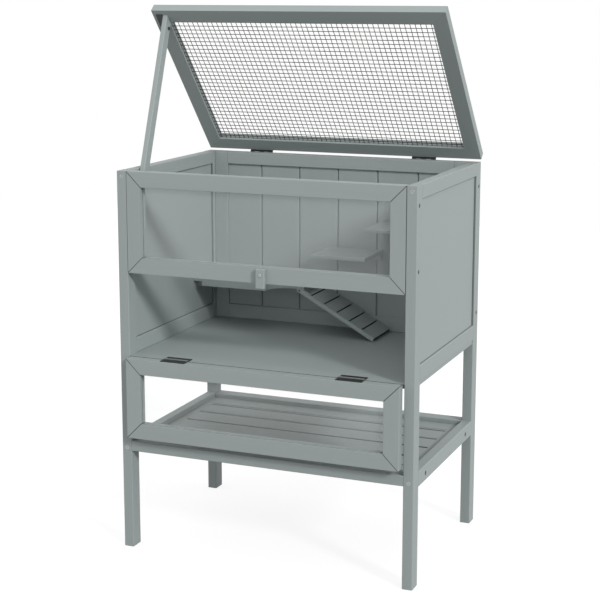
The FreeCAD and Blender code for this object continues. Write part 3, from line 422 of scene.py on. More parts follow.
def cross_dent(size, deep):
    """The depth of a cross recess at x, y: the deeper of two bars that cross.

    A bar is full in its middle and rises evenly over its ends and its two long walls.
    """
    end, half, wall = 0.35 * size, 0.27 * size, 0.14 * size

    def bar(along, over):
        return (np.clip((size - np.abs(along)) / end, 0, 1)
                * np.clip((half - np.abs(over)) / wall, 0, 1))
    return lambda x, y: deep * np.maximum(bar(x, y), bar(y, x))


def head_profile(radius, thick, dome, shank, length):
    """Profile rows of a screw: a domed head, its rounded rim, its underside and its shank.

    The dome is the curve h = -dome (r / radius)^2, so its top stands at height 0.
    """
    share = np.linspace(0, 1, 13)[:-1] ** 0.8
    rows = [(radius * s, -dome * s * s, 1) for s in share]
    rows += [(radius, -dome - 0.12 * thick, 0), (radius, -thick, 0), (shank, -thick, 0)]
    rows += [(shank, -length + shank, 0), (0.25 * shank, -length, 0), (0, -length, 0)]
    return rows


def frame_of(way, spin):
    """A turn that takes Z to a way, after a spin about Z."""
    way = np.asarray(way, float) / np.linalg.norm(way)
    helper = np.array([1.0, 0, 0]) if abs(way[0]) < 0.9 else np.array([0, 1.0, 0])
    side = np.cross(helper, way)
    side /= np.linalg.norm(side)
    basis = np.stack([side, np.cross(way, side), way], 1)
    cos, sin = math.cos(spin), math.sin(spin)
    return basis @ np.array([[cos, -sin, 0], [sin, cos, 0], [0, 0, 1]])


def repeated(points, faces, places):
    """One shape set at many places, each a turn and a point, as one set of points and faces."""
    turns = np.array([turn for turn, _ in places])
    spots = np.array([spot for _, spot in places])
    all_points = np.einsum("kij,nj->kni", turns, points) + spots[:, None, :]
    shift = np.arange(len(places)) * len(points)
    all_faces = [[corner + step for corner in face] for step in shift.tolist() for face in faces]
    return all_points.reshape(-1, 3), all_faces


def found_screws(node):
    """Head point, outward way, head radius, shank radius, length and head height of each screw.

    A screw is a loose part of the node. It runs along its longest side, and its head is the end
    where its corners lie furthest from its middle line.
    """
    points, faces = whole_faces(node)
    mesh = bpy.data.meshes.new("measured")
    mesh.from_pydata(points, [], faces)
    points, part = points_of(mesh), loose_parts(mesh)
    bpy.data.meshes.remove(mesh)
    screws = []
    for number in range(part.max() + 1):
        own = points[part == number]
        low, high = own.min(0), own.max(0)
        middle, axis = (low + high) / 2, int(np.argmax(high - low))
        off = own - middle
        along = off[:, axis].copy()
        off[:, axis] = 0
        far = np.linalg.norm(off, axis=1)
        rim = along[far > RIM_SHARE * far.max()]
        side, length = np.sign(rim.mean()), (high - low)[axis]
        way = np.zeros(3)
        way[axis] = side
        head = middle + way * length / 2
        tip = far[np.abs(along + side * length / 2) < TIP_REACH].max()
        screws.append((head, way, far.max(), tip, length, np.ptp(rim)))
    return screws


def place_screws(name, node, material, dome, chosen=None, wider=1.0):
    """New screws or bolts with a cross recess, in the places and sizes of a node's own."""
    screws = [screw for screw in found_screws(node) if chosen is None or chosen(screw[1])]
    if not screws:
        raise RuntimeError(f"{node} holds no screw for {name}")
    _, _, radius, shank, length, thick = screws[0]
    profile = head_profile(radius * wider, thick, dome, shank, length)
    points, faces = turned(profile, 32, cross_dent(RECESS_LONG * radius, RECESS_DEEP * radius))
    places = [(frame_of(way, FIRST_SPIN + NEXT_SPIN * number), head)
              for number, (head, way, *_) in enumerate(screws)]
    source = frame["nodes"][node]
    slot = source.data.materials[0].name
    thing = place_piece(name, *repeated(points, faces, places), source["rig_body"], slot, material)
    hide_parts(node)
    return thing


# Materials


def new_material(name):
    """An empty node material with a Principled shader on its output."""
    material = bpy.data.materials.new(name)
    material.use_nodes = True
    tree = material.node_tree
    tree.nodes.clear()
    shader = tree.nodes.new("ShaderNodeBsdfPrincipled")
    output = tree.nodes.new("ShaderNodeOutputMaterial")
    tree.links.new(shader.outputs["BSDF"], output.inputs["Surface"])
    return material, tree, shader


def pattern(tree, turn, stretch, detail=2.0, shift=None):
    """Noise on the piece's own coordinates, its features turned and stretched to a size."""
    coordinates = tree.nodes.new("ShaderNodeTexCoord").outputs["Object"]
    if shift is not None:
        moved = tree.nodes.new("ShaderNodeVectorMath")
        moved.operation = "ADD"
        tree.links.new(coordinates, moved.inputs[0])
        tree.links.new(shift, moved.inputs[1])
        coordinates = moved.outputs[0]
    mapping = tree.nodes.new("ShaderNodeMapping")
    mapping.vector_type = "TEXTURE"
    mapping.inputs["Rotation"].default_value = turn
    mapping.inputs["Scale"].default_value = stretch
    noise = tree.nodes.new("ShaderNodeTexNoise")
    noise.inputs["Scale"].default_value = 1
    noise.inputs["Detail"].default_value = detail
    noise.inputs["Roughness"].default_value = 0.55
    tree.links.new(coordinates, mapping.inputs["Vector"])
    tree.links.new(mapping.outputs["Vector"], noise.inputs["Vector"])
    return noise.outputs["Fac"]


def speckle(tree, size, detail):
    """Noise whose features are as large in all directions."""
    return pattern(tree, (0, 0, 0), (size,) * 3, detail)


def weighted(tree, first, second, share):
    """share of the second value and the rest of the first."""
    mix = tree.nodes.new("ShaderNodeMix")
    mix.inputs["Factor"].default_value = share
    tree.links.new(first, mix.inputs["A"])
    tree.links.new(second, mix.inputs["B"])
    return mix.outputs["Result"]


def ranged(tree, value, low, high, start=0.25, end=0.75):
    """A value from start to end spread over low to high."""
    spread = tree.nodes.new("ShaderNodeMapRange")
    spread.inputs["From Min"].default_value = start
    spread.inputs["From Max"].default_value = end
    spread.inputs["To Min"].default_value = low
    spread.inputs["To Max"].default_value = high
    tree.links.new(value, spread.inputs["Value"])
    return spread.outputs["Result"]


def mixed(tree, factor, first, second):
    """The first colour where a factor is 0 and the second where it is 1, sockets or colours."""
    mix = tree.nodes.new("ShaderNodeMix")
    mix.data_type = "RGBA"
    tree.links.new(factor, mix.inputs["Factor"])
    for name, colour in (("A", first), ("B", second)):
        if isinstance(colour, bpy.types.NodeSocket):
            tree.links.new(colour, mix.inputs[name])
        else:
            mix.inputs[name].default_value = (*colour, 1)
    return mix.outputs["Result"]


def toned(tree, factor, colour, change):
    """A colour that a factor makes darker or lighter by a share."""
    darker = [channel * (1 - change) for channel in colour]
    lighter = [min(1.0, channel * (1 + change)) for channel in colour]
    return mixed(tree, factor, darker, lighter)


def bumped(tree, shader, height, distance, strength):
    """Raises and lowers a shader's surface by a height."""
    bump = tree.nodes.new("ShaderNodeBump")
    bump.inputs["Distance"].default_value = distance
    bump.inputs["Strength"].default_value = strength
    tree.links.new(height, bump.inputs["Height"])
    tree.links.new(bump.outputs["Normal"], shader.inputs["Normal"])


def computed(tree, operation, first, second=None):
    """The result of a Math node on sockets or numbers."""
    node = tree.nodes.new("ShaderNodeMath")
    node.operation = operation
    for number, value in enumerate((first, second)):
        if isinstance(value, (int, float)):
            node.inputs[number].default_value = value
        elif value is not None:
            tree.links.new(value, node.inputs[number])
    return node.outputs[0]


def place_of(tree):
    """Sockets with X, Y and Z of the piece's own coordinates."""
    coordinates = tree.nodes.new("ShaderNodeTexCoord").outputs["Object"]
    split = tree.nodes.new("ShaderNodeSeparateXYZ")
    tree.links.new(coordinates, split.inputs[0])
    return split.outputs


def below_edge(tree, value, edge, line):
    """A painted shade line where a value is just below a joint's edge."""
    full, faded, dark = GAP_SHADE_LINES[line]
    return ranged(tree, value, 0, dark, edge - faded, edge - full)


def past_edge(tree, value, edge, line):
    """A painted shade line where a value is up to a joint's edge or just past it."""
    full, faded, dark = GAP_SHADE_LINES[line]
    return ranged(tree, value, dark, 0, edge + full, edge + faded)


def mitre_gap_shade(low_rail, high_rail):
    """Painted shade in the mitre joints of an upright frame, from the boxes of its lower and upper
    rails.

    A line runs where the ways in from the outer side edge and from the outer end edge are equal.
    """
    low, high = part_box(low_rail)[0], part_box(high_rail)[1]
    middle, half = (low[2] + high[2]) / 2, (high[2] - low[2]) / 2

    def off_line(tree):
        x, _, z = place_of(tree)
        side_in = computed(tree, "SUBTRACT", high[0], computed(tree, "ABSOLUTE", x))
        height = computed(tree, "ABSOLUTE", computed(tree, "SUBTRACT", z, middle))
        end_in = computed(tree, "SUBTRACT", half, height)
        gap = computed(tree, "ABSOLUTE", computed(tree, "SUBTRACT", side_in, end_in))
        return past_edge(tree, gap, 0, "mitre")
    return off_line


def window_gap_shade(tree):
    """Painted shade in the window's mitre joints and in the joint between its stiles and the
    posts.
    """
    x, _, _ = place_of(tree)
    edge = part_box("window_top_rail")[1][0]
    side = below_edge(tree, computed(tree, "ABSOLUTE", x), edge, "post")
    mitres = mitre_gap_shade("window_bottom_rail", "window_top_rail")(tree)
    return computed(tree, "MAXIMUM", side, mitres)


def board_groove_shade(tree):
    """Painted shade in the grooves between the back boards: all that lies behind the boards' two
    faces.
    """
    _, y, _ = place_of(tree)
    low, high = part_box("back_boards")
    depth = computed(tree, "ABSOLUTE", computed(tree, "SUBTRACT", y, (low[1] + high[1]) / 2))
    return past_edge(tree, depth, (high[1] - low[1]) / 2, "board")


def panel_gap_shade(tree):
    """Painted shade in the gap between a wall panel and the posts and rails around it."""
    _, y, z = place_of(tree)
    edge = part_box("post_rear_right")[0][1]
    low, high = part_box("wall_bottom_rail_right")[1][2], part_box("wall_top_rail_right")[0][2]
    middle, half = (low + high) / 2, (high - low) / 2
    height = computed(tree, "ABSOLUTE", computed(tree, "SUBTRACT", z, middle))
    upright = below_edge(tree, computed(tree, "ABSOLUTE", y), edge, "panel_side")
    level = below_edge(tree, height, half, "panel_end")
    return computed(tree, "MAXIMUM", upright, level)


def door_gap_shade(tree):
    """Painted shade in the door's mitre joints and along the edge where its hinge rail meets the
    floor.
    """
    _, y, z = place_of(tree)
    _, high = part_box("door_hinge_rail")
    back = below_edge(tree, y, high[1], "door")
    top = below_edge(tree, z, high[2], "door")
    mitres = mitre_gap_shade("door_free_rail", "door_hinge_rail")(tree)
    return computed(tree, "MAXIMUM", computed(tree, "MULTIPLY", back, top), mitres)


def floor_gap_shade(tree):
    """Painted shade along the front edge of the floor board, where the door is hinged on."""
    _, y, _ = place_of(tree)
    return past_edge(tree, y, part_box("floor_board")[0][1], "floor")


def slat_gap_shade(tree):
    """Painted shade lines across the shelf for the gaps between slats, spaced as for slats that
    are all equally wide.

    The outer two slats are narrower, so only the middle line lies right on its gap.
    """
    _, y, _ = place_of(tree)
    low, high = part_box("shelf_slats")
    pitch = (high[1] - low[1] + SLAT_GAP) / SLATS
    steps = computed(tree, "ADD", computed(tree, "DIVIDE", y, pitch), 0.5)
    share = computed(tree, "SUBTRACT", computed(tree, "FRACT", steps), 0.5)
    away = computed(tree, "MULTIPLY", computed(tree, "ABSOLUTE", share), pitch)
    return past_edge(tree, away, SLAT_GAP / 2, "slat")


def stile_edge_shade(tree):
    """Painted shade over the inner edges of the back wall's stiles, next to the boards, where
    their lit sides would show.
    """
    x, _, _ = place_of(tree)
    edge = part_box("back_stile_right")[0][0]
    return past_edge(tree, computed(tree, "ABSOLUTE", x), edge, "stile")


def corner_step_shade(tree):
    """Painted shade on the narrow step between a rear post and the wall panel, above the bottom
    rail.
    """
    _, y, z = place_of(tree)
    step = past_edge(tree, y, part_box("post_rear_right")[0][1], "corner")
    rail_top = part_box("wall_bottom_rail_right")[1][2]
    inside = ranged(tree, z, 0, 1, rail_top, rail_top + 0.001)
    return computed(tree, "MULTIPLY", step, inside)


def slot_shade(tree):
    """Painted shade on the walls of the ramp's slots: what lies inside its two faces and its two
    long edges.
    """
    x, y, z = place_of(tree)
    points = points_of(frame["nodes"]["ramp"].data)
    level = points[:, 0] * math.sin(RAMP_SLOPE) + points[:, 2] * math.cos(RAMP_SLOPE)
    up = computed(tree, "ADD", computed(tree, "MULTIPLY", x, math.sin(RAMP_SLOPE)),
                  computed(tree, "MULTIPLY", z, math.cos(RAMP_SLOPE)))
    inside = [ranged(tree, value, 0, 1, low + start, low + start + SLOT_FADE)
              for value, low, start in ((up, float(level.min()), SLOT_UNDER),
                                        (y, float(points[:, 1].min()), SLOT_SIDE))]
    inside += [ranged(tree, value, 1, 0, high - start - SLOT_FADE, high - start)
               for value, high, start in ((up, float(level.max()), SLOT_TOP),
                                          (y, float(points[:, 1].max()), SLOT_SIDE))]
    across = computed(tree, "MULTIPLY", inside[0], inside[1])
    return computed(tree, "MULTIPLY", across, computed(tree, "MULTIPLY", inside[2], inside[3]))


# Painted shade masks for the gaps, grooves and slots, by name
GAP_SHADE_MASKS = {
    "window": window_gap_shade,
    "door": door_gap_shade,
    "boards": board_groove_shade,
    "panel": panel_gap_shade,
    "floor": floor_gap_shade,
    "slats": slat_gap_shade,
    "stile": stile_edge_shade,
    "corner": corner_step_shade,
    "slots": slot_shade,
}


def painted_wood(grain, joint=None):
    """Matt paint over softwood whose grain still shows faintly along the timber.

    Painted shade darkens the lines of a joint, gap, groove or slot.
    """
    name = f"painted_wood_{grain}_{joint}" if joint else f"painted_wood_{grain}"
    if name in bpy.data.materials:
        return bpy.data.materials[name]
    finish = bpy.context.scene.cage_finish
    material, tree, shader = new_material(name)
    turn = GRAINS[grain]
    member = tree.nodes.new("ShaderNodeAttribute")
    member.attribute_name = "member"
    fine = pattern(tree, turn, FINE_GRAIN, 3, member.outputs["Vector"])
    broad = pattern(tree, turn, BROAD_GRAIN, 2, member.outputs["Vector"])
    speck = pattern(tree, turn, (SPECK,) * 3, 1)
    streaks = weighted(tree, fine, broad, 0.45)
    tones = weighted(tree, streaks, ranged(tree, member.outputs["Fac"], 0.3, 0.7, 0, 1), 0.3)
    colour = toned(tree, ranged(tree, tones, 0, 1, 0.3, 0.7), finish.paint, finish.grain / 2)
    # Painted shade in the joints' gaps, grooves and slots: the paint darkened to a share of itself
    # there
    if joint:
        dark = [finish.gap_shade_tone * channel for channel in finish.paint]
        colour = mixed(tree, GAP_SHADE_MASKS[joint](tree), colour, dark)
    tree.links.new(colour, shader.inputs["Base Color"])
    matt = finish.paint_roughness
    tree.links.new(ranged(tree, streaks, matt - 0.06, matt + 0.06), shader.inputs["Roughness"])
    bumped(tree, shader, weighted(tree, fine, speck, 0.35), 0.00025, 0.22)
    shader.inputs["Specular IOR Level"].default_value = 0.35
    return material


def clear_acrylic():
    """Clear sheet with a faint polish haze."""
    material, tree, shader = new_material("clear_acrylic")
    haze = pattern(tree, (0, 0, 0), HAZE, 3)
    tree.links.new(toned(tree, haze, (0.80, 0.84, 0.84), 0.03), shader.inputs["Base Color"])
    tree.links.new(ranged(tree, haze, 0.03, 0.08), shader.inputs["Roughness"])
    shader.inputs["IOR"].default_value = 1.49
    shader.inputs["Alpha"].default_value = 0.07
    return material


def coated_black():
    """Satin black coating with a fine orange peel, and a painted highlight of lighter colour on
    the door's hinge barrels.
    """
    finish = bpy.context.scene.cage_finish
    material, tree, shader = new_material("coated_black")
    peel = speckle(tree, PEEL, 1)
    wear = pattern(tree, (0, 0, 0), WEAR, 4)
    _, y, z = place_of(tree)
    back = computed(tree, "SUBTRACT", y, float(DOOR_AXIS[1]))
    up = computed(tree, "SUBTRACT", z, float(DOOR_AXIS[2]))
    away = computed(tree, "SQRT", computed(tree, "ADD", computed(tree, "MULTIPLY", back, back),
                                           computed(tree, "MULTIPLY", up, up)))
    coat = toned(tree, ranged(tree, wear, 0, 1), finish.black, 0.25)
    # Painted highlight: the door's hinge barrels take a lighter colour
    barrel = ranged(tree, away, 1, 0, 0.0016, 0.0018)
    tree.links.new(mixed(tree, barrel, coat, finish.barrel_highlight), shader.inputs["Base Color"])
    tree.links.new(ranged(tree, wear, 0.34, 0.48), shader.inputs["Roughness"])
    bumped(tree, shader, peel, 0.00005, 0.35)
    shader.inputs["Metallic"].default_value = 0.15
    return material


def plated_steel(name, colour, smooth, rough):
    """Metal with fine turning marks and small differences in its shine."""
    material, tree, shader = new_material(name)
    marks = speckle(tree, TURNING, 3)
    tree.links.new(toned(tree, ranged(tree, marks, 0, 1), colour, 0.12),
                   shader.inputs["Base Color"])
    tree.links.new(ranged(tree, marks, smooth, rough), shader.inputs["Roughness"])
    bumped(tree, shader, marks, 0.00003, 0.3)
    shader.inputs["Metallic"].default_value = 0.9
    return material


def netting_wire():
    """Dull, nearly black coat of the netting's wires."""
    finish = bpy.context.scene.cage_finish
    material, tree, shader = new_material("netting_wire")
    spangle = speckle(tree, SPANGLE, 3)
    tree.links.new(toned(tree, ranged(tree, spangle, 0, 1), finish.wire, 0.18),
                   shader.inputs["Base Color"])
    tree.links.new(ranged(tree, spangle, 0.45, 0.62), shader.inputs["Roughness"])
    shader.inputs["Metallic"].default_value = 0.3
    return material


# Netting and hinge screws


def closed_lid_box(node):
    """Lowest and highest corner of a lid node, turned back to the closed lid."""
    points = points_of(frame["nodes"][node].data) - LID_AXIS
    cos, sin = math.cos(LID_OPEN), math.sin(LID_OPEN)
    y = points[:, 1] * cos - points[:, 2] * sin
    z = points[:, 1] * sin + points[:, 2] * cos
    closed = np.stack([points[:, 0], y, z], 1) + LID_AXIS
    return closed.min(0), closed.max(0)


def opened_lid(points):
    """Points of the closed lid turned about the hinge line to the open lid."""
    points = points - LID_AXIS
    cos, sin = math.cos(LID_OPEN), math.sin(LID_OPEN)
    y = points[:, 1] * cos + points[:, 2] * sin
    z = points[:, 2] * cos - points[:, 1] * sin
    return np.stack([points[:, 0], y, z], 1) + LID_AXIS


def wire_family(low, high, pitch, bow, radius, level, axis):
    """Parallel wires along one axis, as points and faces.

    A wire's middle line is straight but for a slow sine bow that is 0 at both ends and starts at
    another point on each wire. Its skin is a six-sided tube: middle + radius (cos t sideways +
    sin t up). Flat caps close both ends.
    """
    other = 1 - axis
    reach = high[other] - low[other] - 2 * radius
    count = int(round(reach / pitch)) + 1
    spots = np.linspace(low[other] + radius, high[other] - radius, count)
    sides, rings = WIRE_SIDES, WIRE_RINGS
    along = np.linspace(low[axis], high[axis], rings)
    angle = np.arange(sides) * 2 * math.pi / sides
    wire, ring, side = np.meshgrid(np.arange(count), np.arange(rings), np.arange(sides),
                                   indexing="ij")
    half_turns = math.pi * ring / (rings - 1)
    swing = bow * np.sin(3 * half_turns + NEXT_BOW * wire) * np.sin(half_turns)
    points = np.zeros(wire.shape + (3,))
    points[..., axis] = along[ring]
    points[..., other] = spots[wire] + swing + radius * np.cos(angle[side])
    points[..., 2] = level + radius * np.sin(angle[side]) * (1 if axis == 1 else -1)
    first = (wire * rings + ring) * sides
    near = first + side
    beside = first + (side + 1) % sides
    body = np.stack([near, near + sides, beside + sides, beside], -1)[:, :-1].reshape(-1, 4)
    start = near[:, 0].reshape(-1, sides)
    end = near[:, -1, ::-1].reshape(-1, sides)
    return points.reshape(-1, 3), body.tolist() + start.tolist() + end.tolist()


def leaf_screws(material):
    """Flat cross-headed screws in each hinge leaf, on the face that shows when it stands open."""
    sizes = bpy.context.scene.cage_sizes
    radius = sizes.leaf_screw
    dent = cross_dent(LEAF_RECESS_LONG * radius, LEAF_RECESS_DEEP)
    points, faces = turned(head_profile(radius, **LEAF_HEAD), 24, dent)
    points[:, 2] -= LEAF_SCREW_SUNK
    row = np.linspace(-LEAF_SCREW_SPREAD, LEAF_SCREW_SPREAD, sizes.leaf_screws)
    shallow, deep = LEAF_SCREW_DEPTHS
    depth = np.where(np.arange(sizes.leaf_screws) % 2, deep, shallow)
    axis = {"lid": LID_AXIS, "door": DOOR_AXIS}
    about_z = np.diag([-1.0, -1.0, 1.0])
    hanging = np.array([[1, 0, 0], [0, 0, 1], [0, -1, 0]])
    standing = np.array([[-1, 0, 0], [0, 0, 1], [0, 1, 0]])
    cos, sin = math.cos(LID_OPEN), math.sin(LID_OPEN)
    opened = np.array([[1, 0, 0], [0, cos, sin], [0, -sin, cos]])
    leaves = {
        "lid_fixed": ("cabinet", "lid", hanging),
        "lid_moving": ("lid", "lid", opened @ standing),
        "door_fixed": ("cabinet", "door", np.eye(3)),
        "door_moving": ("door", "door", about_z),
    }
    for name, (body, hinge, turn) in leaves.items():
        places = []
        for side in (-1, 1):
            for number, (x, y) in enumerate(zip(row, depth)):
                spot = turn @ np.array([x, y, 0]) + axis[hinge] * (0, 1, 1)
                spot[0] += side * LEAF_MIDDLES[hinge]
                places.append((turn @ frame_of((0, 0, 1), 0.7 + 1.9 * number + side), spot))
        place_piece(f"{name}_leaf_screws", *repeated(points, faces, places), body,
                    "black_hardware", material)


# Studio


def seen_directly(tree):
    """1 for rays from the camera or from a mirror or clear surface, and 0 for all other light."""
    path = tree.nodes.new("ShaderNodeLightPath").outputs
    either = computed(tree, "MAXIMUM", path["Is Camera Ray"], path["Is Glossy Ray"])
    return computed(tree, "MAXIMUM", either, path["Is Transmission Ray"])


def pale_floor():
    """A white floor that keeps a light shadow and throws back only a share of the light.

    It is a flat square grid at height 0 that reaches as far to each side.
    """
    studio = bpy.context.scene.cage_studio
    rows = FLOOR_CELLS + 1
    reach = np.linspace(-FLOOR_HALF, FLOOR_HALF, rows)
    x, y = np.meshgrid(reach, reach, indexing="ij")
    points = np.stack([x, y, np.zeros_like(x)], -1).reshape(-1, 3)
    row, column = np.meshgrid(np.arange(FLOOR_CELLS), np.arange(FLOOR_CELLS), indexing="ij")
    corner = (row * rows + column).ravel()
    faces = np.stack([corner, corner + rows, corner + rows + 1, corner + 1], 1).tolist()
    mesh = bpy.data.meshes.new("floor")
    mesh.from_pydata(points.tolist(), [], faces)
    floor = bpy.data.objects.new("floor", mesh)
    bpy.context.scene.collection.objects.link(floor)
    material = bpy.data.materials.new("pale_floor")
    material.use_nodes = True
    tree = material.node_tree
    tree.nodes.clear()
    output = tree.nodes.new("ShaderNodeOutputMaterial")
    choice = tree.nodes.new("ShaderNodeMixShader")
    matt = tree.nodes.new("ShaderNodeBsdfDiffuse")
    matt.inputs["Color"].default_value = (studio.floor_bounce,) * 3 + (1,)
    glow = tree.nodes.new("ShaderNodeEmission")
    glow.inputs["Strength"].default_value = FLOOR_GLOW
    shade = tree.nodes.new("ShaderNodeBsdfDiffuse")
    shade.inputs["Color"].default_value = (FLOOR_SHADE,) * 3 + (1,)
    white = tree.nodes.new("ShaderNodeAddShader")
    tree.links.new(glow.outputs[0], white.inputs[0])
    tree.links.new(shade.outputs[0], white.inputs[1])
    tree.links.new(seen_directly(tree), choice.inputs[0])
    tree.links.new(matt.outputs[0], choice.inputs[1])
    tree.links.new(white.outputs[0], choice.inputs[2])
    tree.links.new(choice.outputs[0], output.inputs["Surface"])
    mesh.materials.append(material)


def even_sky():
    """White where it is seen, and an even soft light elsewhere."""
    studio = bpy.context.scene.cage_studio
    world = bpy.data.worlds.new("studio_sky")
    bpy.context.scene.world = world
    world.use_nodes = True
    tree = world.node_tree
    tree.nodes.clear()
    output = tree.nodes.new("ShaderNodeOutputWorld")
    choice = tree.nodes.new("ShaderNodeMixShader")
    soft = tree.nodes.new("ShaderNodeBackground")
    soft.inputs["Strength"].default_value = studio.sky
    white = tree.nodes.new("ShaderNodeBackground")
    white.inputs["Strength"].default_value = 1
    for background in (soft, white):
        background.inputs["Color"].default_value = (1, 1, 1, 1)
    tree.links.new(seen_directly(tree), choice.inputs[0])
    tree.links.new(soft.outputs[0], choice.inputs[1])
    tree.links.new(white.outputs[0], choice.inputs[2])
    tree.links.new(choice.outputs[0], output.inputs["Surface"])


def key_lamp():
    """The one soft lamp, which shines from the right, the front and above."""
    studio = bpy.context.scene.cage_studio
    lamp = bpy.data.lights.new("key", "SUN")
    lamp.energy = studio.key
    lamp.angle = studio.softness
    light = bpy.data.objects.new("key", lamp)
    light.rotation_euler = Matrix(frame_of(KEY_WAY, 0).tolist()).to_euler()
    bpy.context.scene.collection.objects.link(light)


def photo_camera():
    """The camera, right of the cage's front and looking slightly down at it."""
    studio = bpy.context.scene.cage_studio
    data = bpy.data.cameras.new("camera")
    data.lens = studio.lens
    data.sensor_width = 36
    data.shift_y = PHOTO_SHIFT
    camera = bpy.data.objects.new("camera", data)
    camera.location = PHOTO_SPOT
    camera.rotation_euler = (math.pi / 2 - studio.camera_tilt, 0, studio.camera_turn)
    bpy.context.scene.collection.objects.link(camera)
    bpy.context.scene.camera = camera


# Operators


class CageOperator:
    """What every operator of the cage shares."""

    bl_options = {"REGISTER", "UNDO"}

    def timbers(self, context, group, edge=None, joints=None):
        """Dresses a group of timbers in paint, with painted shade in the joints of those that have
        them.
        """
        edge = edge or context.scene.cage_sizes.timber_edge
        joints = joints or {}
        for node, grain in group.items():
            softened(node, painted_wood(grain, joints.get(node)), edge)


class CAGE_OT_posts(CageOperator, bpy.types.Operator):
    """Dress the four corner posts"""

    bl_idname = "cage.posts"
    bl_label = "Corner Posts"

    def execute(self, context):
        rear = dict.fromkeys(("post_rear_left", "post_rear_right"), "corner")
        self.timbers(context, POSTS, joints=rear)
        return {"FINISHED"}


class CAGE_OT_side_walls(CageOperator, bpy.types.Operator):
    """Dress the rails and panels of both side walls"""

    bl_idname = "cage.side_walls"
    bl_label = "Side Walls"

    def execute(self, context):
        panels = dict.fromkeys(("wall_panel_left", "wall_panel_right"), "panel")
        self.timbers(context, SIDE_WALLS, joints=panels)
        return {"FINISHED"}


class CAGE_OT_back_wall(CageOperator, bpy.types.Operator):
    """Dress the stiles, rails and boards of the back wall"""

    bl_idname = "cage.back_wall"
    bl_label = "Back Wall"

    def execute(self, context):
        edge = context.scene.cage_sizes.board_edge
        joints = {"back_boards": "boards", "back_stile_left": "stile", "back_stile_right": "stile"}
        self.timbers(context, BACK_WALL, edge, joints)
        return {"FINISHED"}


class CAGE_OT_window(CageOperator, bpy.types.Operator):
    """Dress the front window's frame and the turn button"""

    bl_idname = "cage.window"
    bl_label = "Window and Turn Button"

    def execute(self, context):
        members = [node for node in WINDOW if node != "turn_button"]
        self.timbers(context, WINDOW, joints=dict.fromkeys(members, "window"))
        return {"FINISHED"}


class CAGE_OT_door(CageOperator, bpy.types.Operator):
    """Dress the front door's frame"""

    bl_idname = "cage.door"
    bl_label = "Door"

    def execute(self, context):
        self.timbers(context, DOOR, joints=dict.fromkeys(DOOR, "door"))
        return {"FINISHED"}


class CAGE_OT_panes(CageOperator, bpy.types.Operator):
    """Give the panes of window and door their clear sheet"""

    bl_idname = "cage.panes"
    bl_label = "Panes"

    def execute(self, context):
        acrylic = clear_acrylic()
        for node in ("window_pane", "door_pane"):
            frame["nodes"][node].material_slots[0].material = acrylic
        return {"FINISHED"}


class CAGE_OT_lid(CageOperator, bpy.types.Operator):
    """Dress the lid's frame and the stay that props it"""

    bl_idname = "cage.lid"
    bl_label = "Lid and Stay"

    def execute(self, context):
        self.timbers(context, LID)
        return {"FINISHED"}


class CAGE_OT_inside(CageOperator, bpy.types.Operator):
    """Dress the floor, platform, ramp and steps"""

    bl_idname = "cage.inside"
    bl_label = "Floor, Platform, Ramp and Steps"

    def execute(self, context):
        joints = {"floor_board": "floor", "ramp": "slots"}
        self.timbers(context, INSIDE, context.scene.cage_sizes.board_edge, joints)
        return {"FINISHED"}


class CAGE_OT_shelf(CageOperator, bpy.types.Operator):
    """Dress the storage shelf below the cage"""

    bl_idname = "cage.shelf"
    bl_label = "Shelf"

    def execute(self, context):
        edge = context.scene.cage_sizes.board_edge
        self.timbers(context, SHELF, edge, {"shelf_slats": "slats"})
        return {"FINISHED"}


class CAGE_OT_netting(CageOperator, bpy.types.Operator):
    """String the lid's netting of crossing wires"""

    bl_idname = "cage.netting"
    bl_label = "Netting"

    def execute(self, context):
        sizes = context.scene.cage_sizes
        low, high = closed_lid_box("lid_mesh")
        radius = sizes.wire_thick / 2
        level, apart = (low[2] + high[2]) / 2, LAYER_SHARE * radius
        lengthways = wire_family(low[:2], high[:2], sizes.wire_pitch, sizes.wire_bow, radius,
                                 level + apart, 0)
        crossways = wire_family(low[:2], high[:2], sizes.wire_pitch, sizes.wire_bow, radius,
                                level - apart, 1)
        points = np.vstack([lengthways[0], crossways[0]])
        shift = len(lengthways[0])
        faces = lengthways[1] + [[corner + shift for corner in face] for face in crossways[1]]
        net = place_piece("lid_netting", opened_lid(points), faces, "lid", "wire", netting_wire())
        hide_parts("lid_mesh")
        return {"FINISHED"}


class CAGE_OT_hinges(CageOperator, bpy.types.Operator):
    """Dress the hinges and the stay's bracket, and put the screws in their leaves"""

    bl_idname = "cage.hinges"
    bl_label = "Hinges and Bracket"

    def execute(self, context):
        sizes = context.scene.cage_sizes
        black = coated_black()
        for node in BLACK_PLATES:
            softened(node, black, sizes.plate_edge)
        frame["nodes"]["hinge_pins"].material_slots[0].material = black
        leaf_screws(black)
        return {"FINISHED"}


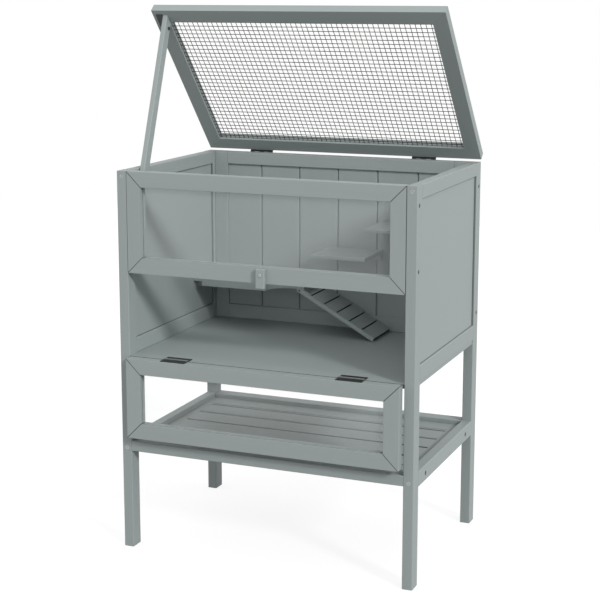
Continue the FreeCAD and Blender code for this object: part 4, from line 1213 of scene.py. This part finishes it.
class CAGE_OT_screws(CageOperator, bpy.types.Operator):
    """Put detailed heads on the bolts and screws"""

    bl_idname = "cage.screws"
    bl_label = "Bolts and Screws"

    def execute(self, context):
        finish = context.scene.cage_finish
        steel = plated_steel("plated_steel", finish.steel, 0.35, 0.5)
        dark = plated_steel("dark_steel", finish.dark_steel, 0.4, 0.55)
        bolt, screw, button = DOMES["bolt"], DOMES["screw"], DOMES["button"]
        place_screws("post_bolts", "frame_bolts", steel, bolt, lambda way: way[1] != 0)
        place_screws("shelf_bolts", "frame_bolts", dark, bolt, lambda way: way[0] != 0)
        place_screws("side_screws", "wall_screws", dark, screw, wider=SIDE_SCREW_WIDER)
        place_screws("step_screw_heads", "step_screws", steel, screw)
        place_screws("floor_screw_heads", "floor_screws", steel, screw)
        place_screws("button_screw_head", "button_screw", steel, button)
        for node in ("stay_pin", "ramp_hinge_rod"):
            frame["nodes"][node].material_slots[0].material = dark
        return {"FINISHED"}


class CAGE_OT_studio(CageOperator, bpy.types.Operator):
    """Set up the pale floor, the light and the camera"""

    bl_idname = "cage.studio"
    bl_label = "Studio"

    def execute(self, context):
        pale_floor()
        even_sky()
        key_lamp()
        photo_camera()
        context.scene.view_settings.view_transform = "Standard"
        return {"FINISHED"}


# Panel and add-on


class CAGE_PT_sidebar(bpy.types.Panel):
    """Lists the cage's steps and settings"""

    bl_idname = "CAGE_PT_sidebar"
    bl_label = "Hamster Cage"
    bl_space_type = "VIEW_3D"
    bl_region_type = "UI"
    bl_category = "Hamster Cage"

    def draw(self, context):
        for step in STEPS:
            self.layout.operator(step.bl_idname)
        scene = context.scene
        for group in (scene.cage_finish, scene.cage_sizes, scene.cage_studio):
            box = self.layout.box()
            for key in group.__annotations__:
                box.prop(group, key)


STEPS = (
    CAGE_OT_posts,
    CAGE_OT_side_walls,
    CAGE_OT_back_wall,
    CAGE_OT_window,
    CAGE_OT_door,
    CAGE_OT_panes,
    CAGE_OT_lid,
    CAGE_OT_inside,
    CAGE_OT_shelf,
    CAGE_OT_netting,
    CAGE_OT_hinges,
    CAGE_OT_screws,
    CAGE_OT_studio,
)
CLASSES = (CageFinish, CageSizes, CageStudio, *STEPS, CAGE_PT_sidebar)


def register():
    for kind in CLASSES:
        bpy.utils.register_class(kind)
    bpy.types.Scene.cage_finish = PointerProperty(type=CageFinish)
    bpy.types.Scene.cage_sizes = PointerProperty(type=CageSizes)
    bpy.types.Scene.cage_studio = PointerProperty(type=CageStudio)


def unregister():
    del bpy.types.Scene.cage_studio
    del bpy.types.Scene.cage_sizes
    del bpy.types.Scene.cage_finish
    for kind in reversed(CLASSES):
        bpy.utils.unregister_class(kind)


def main():
    register()
    for step in STEPS:
        group, name = step.bl_idname.split(".")
        getattr(getattr(bpy.ops, group), name)()
    bpy.context.view_layer.update()


if __name__ == "__main__":
    main()
